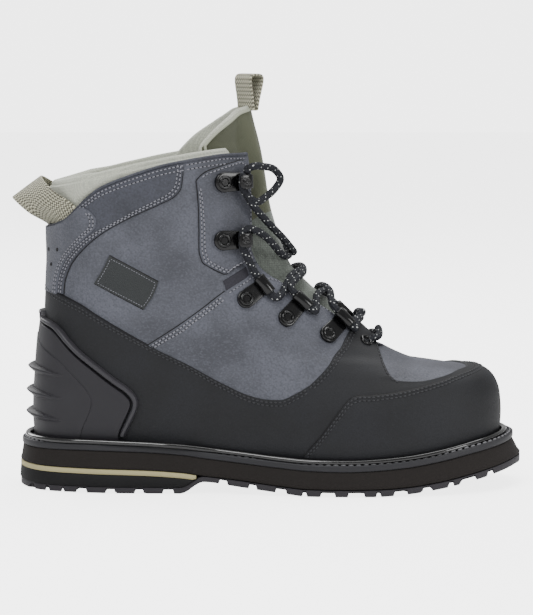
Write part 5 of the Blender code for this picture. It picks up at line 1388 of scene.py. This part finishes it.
def build_cuff():
    """Padded cuff: swells between its stitched top and bottom, and puckers a little at its quilting."""
    across = np.linspace(-1, 1, 260)
    at = np.linspace(0, len(CUFF_ROWS) - 1, 54)
    outer, inner = [], []
    tuck = -(WALL + 4 * GAP)
    for k, (from_leather, from_top, rise, thin) in enumerate(columns_at(CUFF_ROWS, at).T):
        theta = across * (throat_angle(11.0 + 0.15 * rise) - 0.14)
        leather, top = leather_top(theta), hermite(CUFF_TOP[:, 0], CUFF_TOP[:, 1], np.abs(theta))
        bulge = tuck * (1 - smoothstep(0.1, 0.8, top - leather))
        blend = smoothstep(0.0, 1.0, rise)
        ring = (leather + from_leather) * (1 - blend) + (top + from_top) * blend
        crown = smoothstep(-0.02, -0.12, from_top) * blend
        height = tuck * (1 - blend) + (bulge - 1.2 * (1 - crown)) * blend
        pucker = 0.35 * np.sin(theta * 23.0 + 0.6 * np.sin(theta * 7.0))
        pucker = pucker * blend * smoothstep(0.0, 0.4, top - leather)
        swell = 1.6 * np.sin(PI * min(k / (len(at) - 1) * 1.15, 1.0)) * (0.8 + 0.2 * np.sin(theta * 9.0))
        outer.append(lifted(theta, ring, height + pucker * 0.6))
        inner.append(lifted(theta, ring, np.minimum(height, tuck) - thin * CUFF_WALL - swell + pucker))
    uv = np.stack(np.broadcast_arrays(across[None], at[:, None] * 0.2), axis=-1)
    parts = sheet_parts(np.array(outer), np.array(inner), uv)
    item = joined("padded_cuff", parts, LOOKS["lining"])
    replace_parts(item, "collar_cuff")


def build_collar_piping():
    """Thin rolled edge along the leather's top, from one throat corner round the heel to the other."""
    end = throat_angle(11.9) - 0.01
    theta = np.linspace(-end, end, 300)
    path = lifted(theta, leather_top(theta), -0.6)
    joined("collar_piping", [tube(path, 1.25, 12)], LOOKS["band"])


def tongue_top(theta):
    """Ring of the tongue's top edge, by the turn away from the throat's middle on either side."""
    turn = theta - PI
    sides = [hermite(top[:, 0], top[:, 1], np.abs(turn)) for top in (TONGUE_TOP_OUTER, TONGUE_TOP_INNER)]
    return np.where(turn > 0, *sides)


def tongue_height(theta, ring):
    """Height of the tongue's outer face: under the leather and the cuff at its wings, up to the
    leather's face in the open throat, and halfway up again above the collar."""
    edge = PI - throat_angle(ring)
    turn = np.abs(theta - PI)
    cuff = smoothstep(8.9, 9.9, ring) * (CUFF_WALL + 5 * GAP)
    under = -(WALL + 3 * GAP + cuff)
    open_share = 1 - smoothstep(0.25, 0.86, turn / np.maximum(edge, 0.05))
    open_share = np.where(ring < 7.55, open_share * smoothstep(7.15, 7.55, ring), open_share)
    above = 0.45 * smoothstep(12.2, 13.2, ring)
    return under * (1 - open_share) * (1 - above)


TONGUE_ROWS, TONGUE_COLUMNS, TONGUE_LOW = 130, 110, 6.4
# Share of the way up where the sage cloth ends and the piped olive cloth starts
OLIVE_FROM = 0.66
# Folds across the tongue: ring of each, its width in rings and its height
TONGUE_FOLDS = ((8.3, 0.16, 0.7), (9.2, 0.2, -0.6), (10.2, 0.24, 0.5), (11.2, 0.3, -0.5))


def tongue_grid():
    """theta and ring of the tongue's grid, with its share upward and its turn from the middle."""
    turn = np.linspace(-1.34, 1.02, TONGUE_COLUMNS)
    share = np.linspace(0, 1, TONGUE_ROWS)[:, None]
    ring = TONGUE_LOW + (tongue_top(PI + turn)[None] - TONGUE_LOW) * share
    wing = smoothstep(0.3, 0.7, share)
    return PI + turn * (0.55 + 0.45 * wing), ring, share, turn


def build_tongue():
    """Tongue with its wings: soft folds across, an edge that swells where it is piped."""
    theta, ring, share, turn = tongue_grid()
    height = tongue_height(theta, ring)
    ripple = sum(deep * np.exp(-(((ring - at) / wide) ** 2)) for at, wide, deep in TONGUE_FOLDS)
    puff = 0.5 * np.sin(PI * np.clip(share, 0, 1)) * np.cos((turn - turn.mean()) * 1.1)
    height = height + (ripple + puff) * smoothstep(0.9, 0.2, np.abs(turn))
    thick = 4.0 * (0.55 + 0.45 * smoothstep(0.0, 0.4, share)) * np.ones_like(ring)
    outer, inner = lifted(theta, ring, height), lifted(theta, ring, height - thick)
    across = np.cumsum(np.linalg.norm(np.diff(outer, axis=1, prepend=outer[:, :1]), axis=-1), axis=1)
    up = np.cumsum(np.linalg.norm(np.diff(outer, axis=0, prepend=outer[:1]), axis=-1), axis=0)
    uv = np.stack([across - across[:, TONGUE_COLUMNS // 2:TONGUE_COLUMNS // 2 + 1], up], axis=-1) / 100.0
    parts = sheet_parts(outer, inner, uv)
    item = joined("tongue_body", parts, LOOKS["tongue"])
    item.data.materials.append(LOOKS["sage"])
    item.data.materials.append(LOOKS["lining"])
    front = len(parts[0][1])
    rows = np.arange(front) // (TONGUE_COLUMNS - 1)
    index = np.full(len(item.data.polygons), 2, dtype=np.int32)
    index[:front] = rows / (TONGUE_ROWS - 1) < OLIVE_FROM
    item.data.polygons.foreach_set("material_index", index)
    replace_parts(item, "tongue")
    first = int(OLIVE_FROM * (TONGUE_ROWS - 1))
    left, right = 2, TONGUE_COLUMNS - 3
    raised = outer + outward(theta, ring) * 0.35
    line = np.concatenate([raised[first:-1, right], raised[-2, right:left:-1], raised[-2:first:-1, left]])
    joined("tongue_piping", [tube(line, 0.95, 10)], LOOKS["piping"])


HEEL_LOOP = (
    ((0.034, 0.716, None), (0.022, 0.743, None), (-0.016, 0.790, 0.44), (-0.055, 0.838, 0.0)),
    ((0.066, 0.748, None), (0.054, 0.776, None), (0.010, 0.828, 0.70), (-0.025, 0.874, 0.0)),
    ((0.099, 0.781, None), (0.087, 0.808, None), (0.038, 0.866, 0.86), (0.005, 0.909, 0.0)),
)


def arch(points, count):
    """Line from the outer side over the fold to the inner side."""
    half = []
    for (at, rise, share), under in zip(points, (-1.7, -1.0, 0.0, 0.0)):
        x, z = side_point(at, rise)
        half.append(seat(x, z, INNER, under)[0] if share is None else (x, share * WEBBING_SPAN, z))
    half = np.array(half)
    return curve(np.concatenate([half * (1, -1, 1), half[-2::-1]]), count)


def webbing(name, edges, thickness):
    """Flat webbing between edge lines: smooth across, thick on both faces, rounded at its edges."""
    edges = np.array(edges)
    lines = columns_at(edges.reshape(len(edges), -1), np.linspace(0, len(edges) - 1, 22))
    grid = np.moveaxis(lines.reshape(edges.shape[1], 3, -1), 2, 0)
    facing = unit(np.cross(np.gradient(grid, axis=0), np.gradient(grid, axis=1)))
    along = np.cumsum(np.linalg.norm(np.diff(grid, axis=1, prepend=grid[:, :1]), axis=-1), axis=1)
    wide = np.cumsum(np.linalg.norm(np.diff(grid, axis=0, prepend=grid[:1]), axis=-1), axis=0)
    half = facing * thickness / 2
    parts = sheet_parts(grid + half, grid - half, np.stack([along, wide], axis=-1))
    return joined(name, parts, LOOKS["webbing"])


def build_loops():
    """Heel loop that arches off the collar, and the tongue's loop, turned to show its rear face."""
    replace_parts(webbing("heel_pull_loop", [arch(edge, 110) for edge in HEEL_LOOP], 1.5), "heel_loop")
    turn = math.radians(TONGUE_LOOP_TURN)
    across = np.array((math.sin(turn), math.cos(turn), 0.0))
    facing = np.array((math.cos(turn), -math.sin(turn), 0.0))
    foot = form(PI, float(tongue_top(np.array(PI))))
    step = np.linspace(-1, 1, 90)
    share = np.abs(step)
    spread = 4.6 * np.sin(PI * share ** 0.85) + 1.4 * share ** 3
    rise = TONGUE_LOOP_REACH * (1 - share ** 2.4) + GAP - 1.5 * smoothstep(0.85, 1.0, share)
    away = np.sign(step) * spread + 0.05 * rise - 2.0
    spine = foot + facing * away[:, None] + np.array((0, 0, 1.0)) * rise[:, None]
    width = across * TONGUE_LOOP_WIDTH / 2
    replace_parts(webbing("tongue_pull_loop", [spine - width, spine, spine + width], 1.4), "tongue_loop")


# Hardware: each piece in a frame with +X along its plate, +Z off the leather, in millimetres

HOOKS = ((0.401, 0.900), (0.401, 0.702))
GUIDES = (
    ((0.451, 0.500), (0.486, 0.542)), ((0.538, 0.433), (0.566, 0.480)), ((0.626, 0.371), (0.656, 0.411)),
)
EYELET = (0.707, 0.338)
GUIDE_SEAT, PANEL_SEAT, HOOK_REACH, LIP_HALF = 1.7, 3.05, 14.5, 4.2
TUBE_BORE, TUBE_WALL, TUBE_LENGTH, PLATE = 2.8, 0.9, 12.0, 1.2


def frame_of(place, facing, toward):
    """Rows: the piece's X, Y and Z directions, then its place."""
    z = unit(facing)
    x = unit(toward - z * (toward @ z))
    return np.stack([x, np.cross(z, x), z, place])


def at_frame(frame_rows, points):
    return np.asarray(points) @ frame_rows[:3] + frame_rows[3]


def mate(at, rise, side, height):
    return seat(*side_point(at, rise), side, height)


def hook_frame(spot, side):
    place, facing = mate(*spot, side, PANEL_SEAT)
    ahead, _ = mate(spot[0] + HOOK_REACH / LAST_LENGTH, spot[1], side, PANEL_SEAT)
    return frame_of(place, facing, ahead - place)


def lathe(section, count=36):
    """Round piece about Z from radius and height pairs, listed from the top's middle outward."""
    radius, height = np.array(section, float).T[:, :, None]
    angle = np.linspace(0, 2 * PI, count, endpoint=False)
    points = [radius * np.cos(angle), radius * np.sin(angle), height * np.ones_like(angle)]
    return np.stack(points, axis=-1), quads(len(radius), count, wrap_columns=True)[:, ::-1]


RIVET = (
    (0.02, 0.0), (1.9, 0.0), (2.15, 0.15), (2.35, 0.6), (2.65, 1.1), (3.1, 1.35), (3.6, 1.3), (4.05, 1.0),
    (4.3, 0.6), (4.4, 0.1), (4.4, -0.6),
)
BOSS = (
    (0.02, 0.25), (1.0, 0.25), (1.25, 0.5), (1.6, 0.85), (2.2, 0.85), (2.7, 0.5), (2.85, 0.0), (2.85, -0.6),
)
EYELET_RING = (
    (0.02, -0.5), (2.2, -0.5), (2.3, 0.0), (2.3, 0.4), (2.5, 0.85), (2.9, 1.15), (3.4, 1.1), (3.9, 0.75),
    (4.15, 0.3), (4.2, -0.4),
)


def stadium(length, radius, thick, end_radius, count=18):
    """Plate with two round ends, bevelled at its top edge: rings from its middle line outward."""
    angle = np.linspace(PI / 2, 3 * PI / 2, count)
    back = radius * np.stack([np.cos(angle), np.sin(angle)], axis=1)
    front = np.stack([-end_radius * np.cos(angle) * 0.35 + length, -end_radius * np.sin(angle)], axis=1)
    rim = np.concatenate([back, front])
    middle = np.array((length / 2, 0.0))
    section = ((0.02, thick), (0.5, thick), (0.90, thick), (0.96, thick * 0.93), (0.99, thick * 0.75),
               (1.0, thick * 0.5), (1.0, -1.0))
    points = np.array([np.column_stack([middle + (rim - middle) * share, np.full(len(rim), z)])
                       for share, z in section])
    faces = quads(len(section), len(rim), wrap_columns=True)
    return points, oriented(points, faces, np.array((0, 0, 1.0)), 0)


HOOK_LINE = (
    (9.0, 1.25), (12.8, 1.25), (14.6, 1.6), (16.0, 2.6), (16.5, 4.2), (15.8, 5.9), (14.2, 7.0), (11.8, 7.4),
    (9.2, 7.35), (7.0, 7.2),
)


def bent(line, half, thick):
    """Sheet metal bent along a line in the X, Z plane: a closed band of rounded section, whose last
    seventh narrows to a round end."""
    path = curve(line, 40)
    ahead = unit(np.gradient(path, axis=0))
    normal = np.stack([-ahead[:, 1], ahead[:, 0]], axis=1)
    into_end = np.clip((np.linspace(0, 1, 40) - 0.86) / 0.14, 0, 1)
    taper = half * np.sqrt(np.clip(1 - into_end ** 2.2, 0.05, 1))
    angle = np.linspace(0, 2 * PI, 24, endpoint=False)
    across, deep = [np.sign(wave) * np.abs(wave) ** 0.35 for wave in (np.cos(angle), np.sin(angle))]
    flat = path[:, None] + normal[:, None] * (deep * thick / 2)[:, None]
    points = np.stack([flat[..., 0], across * taper[:, None], flat[..., 1]], axis=-1)
    faces = quads(40, 24, wrap_columns=True)
    return points, oriented(points, faces, points[20, 0] - points[20].mean(0), 20 * 24)


def shaped(frame_rows, points, faces, shift=(0, 0, 0)):
    return at_frame(frame_rows, points + np.asarray(shift, float)), faces


def build_hooks():
    for word, side in SIDES:
        for number, spot in enumerate(HOOKS):
            rows = hook_frame(spot, side)
            parts = [
                shaped(rows, *stadium(HOOK_REACH + 1.0, 6.1, PLATE, 5.1)),
                shaped(rows, *bent(HOOK_LINE, LIP_HALF, 1.25)),
                shaped(rows, *lathe(RIVET), shift=(0, 0, PLATE * 0.9)),
                shaped(rows, *lathe(BOSS), shift=(11.6, 0, 7.9)),
            ]
            item = joined("hook_%s_%d" % (word, number + 1), parts, LOOKS["metal"])
            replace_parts(item, "lace_hook_%s_%d" % (word, number + 1))


def guide_frame(rivet, tube_at, side):
    place, facing = mate(*rivet, side, GUIDE_SEAT)
    there, beyond = mate(*tube_at, side, GUIDE_SEAT)
    facing = unit(facing + beyond)
    toward = there - place
    middle = there + facing * (TUBE_BORE + TUBE_WALL - 0.5 - toward @ facing)
    along = unit(np.cross(facing, toward))
    return place, facing, middle, along if along[2] > 0 else -along


def hollow_tube(middle, along, length, bore, wall):
    """Rolled tube with a bore and rounded mouths: a closed section of radius and distance along it."""
    half, outer = length / 2, bore + wall
    radius, away = np.array((
        (bore, -half + 0.5), (bore, half - 0.5), (bore + 0.15, half - 0.12), (bore + wall / 2, half),
        (outer - 0.15, half - 0.12), (outer, half - 0.5), (outer, -half + 0.5), (outer - 0.15, -half + 0.12),
        (bore + wall / 2, -half), (bore + 0.15, -half + 0.12),
    )).T[:, :, None, None]
    side = unit(np.cross(along, (0.1, 0.2, 0.97)))
    angle = np.linspace(0, 2 * PI, 28, endpoint=False)[:, None]
    ring = np.cos(angle) * side + np.sin(angle) * np.cross(along, side)
    points = middle + away * along + radius * ring
    return points, oriented(points, quads(10, 28, wrap_columns=True, wrap_rows=True), ring[0], 5 * 28)


def build_guides():
    for word, side in SIDES:
        for number, (rivet, tube_at) in enumerate(GUIDES):
            place, facing, middle, along = guide_frame(rivet, tube_at, side)
            toward = middle - place
            rows = frame_of(place, facing, toward)
            length = float(np.linalg.norm(toward)) - TUBE_BORE * 0.6
            parts = [
                shaped(rows, *stadium(length, 5.6, PLATE, TUBE_LENGTH * 0.42)),
                shaped(rows, *lathe(RIVET), shift=(0, 0, PLATE * 0.9)),
                hollow_tube(middle, along, TUBE_LENGTH, TUBE_BORE, TUBE_WALL),
            ]
            item = joined("guide_%s_%d" % (word, number + 1), parts, LOOKS["metal"])
            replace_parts(item, "lace_guide_%s_%d" % (word, number + 1))
        place, facing = mate(*EYELET, side, 2.2)
        rows = frame_of(place, facing, np.array((1.0, 0.0, 0.0)))
        item = joined("eyelet_%s" % word, [shaped(rows, *lathe(EYELET_RING))], LOOKS["metal"])
        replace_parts(item, "lace_eyelet_" + word)


# Laces

LACE_LIFT = LACE / 2 + 1.5
CROSSINGS = (7.95, 8.98, 9.68, 10.15)
TUBE_CLEAR = TUBE_LENGTH / 2 + 0.8
LACE_LOOP = (
    (0.462, 0.952, -7.6), (0.490, 0.952, -6.0), (0.512, 0.940, -4.8), (0.525, 0.908, -4.2),
    (0.514, 0.876, -4.8), (0.494, 0.848, -5.8), (0.474, 0.832, -7.0),
)


def turn_of(spot, side):
    theta, ring = located([(spot[0], spot[2])])[0]
    return side * (abs(theta) - PI), ring


def strand(start, end, middle, lift):
    """Points over the tongue between two mouths, each a turn and a ring, bent to middle's ring."""
    points = []
    for share in (0.3, 0.5, 0.7):
        turn, ring = np.array(start) * (1 - share) + np.array(end) * share
        ring += 4 * share * (1 - share) * (middle - (start[1] + end[1]) / 2)
        points.append(lifted(PI + turn, ring, lift))
    return points


def hook_point(spot, side, ahead, above, height):
    return at_frame(hook_frame(spot, side), (ahead, -side * above, height))


def hook_way(spot, side, ahead, above):
    return unit(np.array((ahead, -side * above, 0.0)) @ hook_frame(spot, side)[:3])


# Way round a hook, from below it to above it: how far ahead of the hook's bend, then above its
# middle, then off the leather
HOOK_BEND = LIP_HALF + 1.3
ROUND_LOWER_HOOK = (
    (-2.2, -HOOK_BEND - 2.6, 4.0), (-4.0, -HOOK_BEND + 1.5, 3.9), (-4.2, 0.0, 3.9),
    (-3.4, HOOK_BEND - 1.0, 3.9), (0.6, HOOK_BEND + 1.4, 4.0), (4.4, HOOK_BEND + 0.2, 3.4),
)
ROUND_UPPER_HOOK = (
    (-1.6, -HOOK_BEND - 3.0, 4.2), (-4.0, -HOOK_BEND + 1.5, 3.9), (-4.2, 0.6, 3.9),
    (-3.6, HOOK_BEND - 1.4, 3.9),
)


def round_hook(spot, side, way):
    return [hook_point(spot, side, HOOK_REACH + ahead, above, height) for ahead, above, height in way]


def lace_route(side):
    """Whole way of one lace's half: from the eyelet over to the other side's first guide, through
    each guide by turns, up to the lower hook, round it, and across to the upper hook."""
    here = side
    start = turn_of(mate(EYELET[0] - 0.004, EYELET[1] + 0.062, side, 0.0)[0], side)
    throat = PI - abs(start[0])
    route = [
        lifted(side * (throat - 0.02), start[1], -6.5),
        lifted(side * (throat + 0.13), start[1] + 0.1, -2.0),
    ]
    lift = LACE_LIFT + 2.2
    for number, (rivet, tube_at) in enumerate(GUIDES[::-1]):
        other = -here
        _, _, middle, along = guide_frame(rivet, tube_at, other)
        root = mate(*tube_at, other, 0.0)[0]
        above = 1 if (side < 0) == (number % 2 == 0) else -1
        end = turn_of(root - along * TUBE_CLEAR, other)
        route += strand(start, end, CROSSINGS[number], lift + LACE * 0.3 * above)
        route += [middle + along * away for away in (-TUBE_CLEAR - 2.2, -4.0, 4.0, TUBE_CLEAR + 1.6)]
        start = turn_of(root + along * TUBE_CLEAR, other)
        lift = LACE_LIFT
        here = other
    upper, lower = HOOKS
    other = -here
    route += round_hook(lower, here, ROUND_LOWER_HOOK)
    leave = turn_of(hook_point(lower, here, HOOK_REACH + 7.0, 0.0, 0.0), here)
    under = turn_of(hook_point(upper, other, HOOK_REACH + 3.9, -LIP_HALF - 7.3, 0.0), other)
    route += strand(leave, under, CROSSINGS[3], LACE_LIFT - 0.4 + LACE * (0.55 if side < 0 else -0.15))
    route += round_hook(upper, other, ROUND_UPPER_HOOK if other < 0 else ROUND_UPPER_HOOK[:3])
    return np.array(route)


def build_laces():
    """Bar between the eyelets, the lace's two halves, and the loop in front of the top hook."""
    bar = [lifted(PI, 7.42, LACE_LIFT + 2.6)]
    for number, (_, side) in enumerate(SIDES):
        hole, facing = mate(EYELET[0] + 0.007, EYELET[1], side, 1.6)
        brim = mate(EYELET[0] + 0.020, EYELET[1] - 0.004, side, 2.2 + LACE / 2)[0]
        ends = [hole - facing * 3.0, hole + (brim - hole) * 0.25 + facing * 0.8, brim]
        bar = ends + bar if number == 0 else bar + ends[::-1]
    piece = joined("lace_base", [tube(curve(bar, 70), LACE / 2, 18)], LOOKS["lace"])
    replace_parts(piece, "lace_bar")
    halves = []
    for word, side in SIDES:
        part = tube(curve(lace_route(side), 620), LACE / 2, 18)
        halves.append(joined("lace_" + word, [part], LOOKS["lace"]))
    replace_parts(halves[0], "lace_crossing_1", "lace_crossing_2", "lace_riser_outer")
    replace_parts(halves[1], "lace_crossing_3", "lace_crossing_4", "lace_riser_inner")
    first = hook_point(HOOKS[0], OUTER, HOOK_REACH - 1.0, HOOK_BEND, 4.0)
    points = [first, first + hook_way(HOOKS[0], OUTER, 0.3, 1) * 2.4]
    for at, rise, across in LACE_LOOP:
        x, z = side_point(at, rise)
        points.append(np.array((x, across * LACE, z)))
    points.append(hook_point(HOOKS[0], OUTER, HOOK_REACH - 2.6, -HOOK_BEND - 2.4, 5.6))
    path = curve(points, 160)
    item = joined("lace_front_loop", [tube(path, LACE / 2, 18)], LOOKS["lace"])
    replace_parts(item, "lace_loop")
    path[0] * MM
    [point * MM for point in path]


build_camera()
build_laces()
build_stage()
build_upper()
stitches_dark = build_rand() + build_cap()
build_counter()
build_flex()
stitches_pale = build_band() + build_eyestay() + build_quarter() + build_patch()
joined("dark_stitches", stitches_dark, LOOKS["thread_dark"])
# Painted shade: dark marks in the stitch holes and vent holes and along the panels' edges
joined("painted_shade_marks", PAINTED_SHADE_MARKS + vent_hole_shade(), LOOKS["hole"])
joined("pale_stitches", stitches_pale, LOOKS["thread_pale"])
build_welt()
build_midsole()
build_heel()
build_tread()
build_bead()
build_footbed()
build_cuff()
build_collar_piping()
build_tongue()
build_loops()
build_hooks()
build_guides()
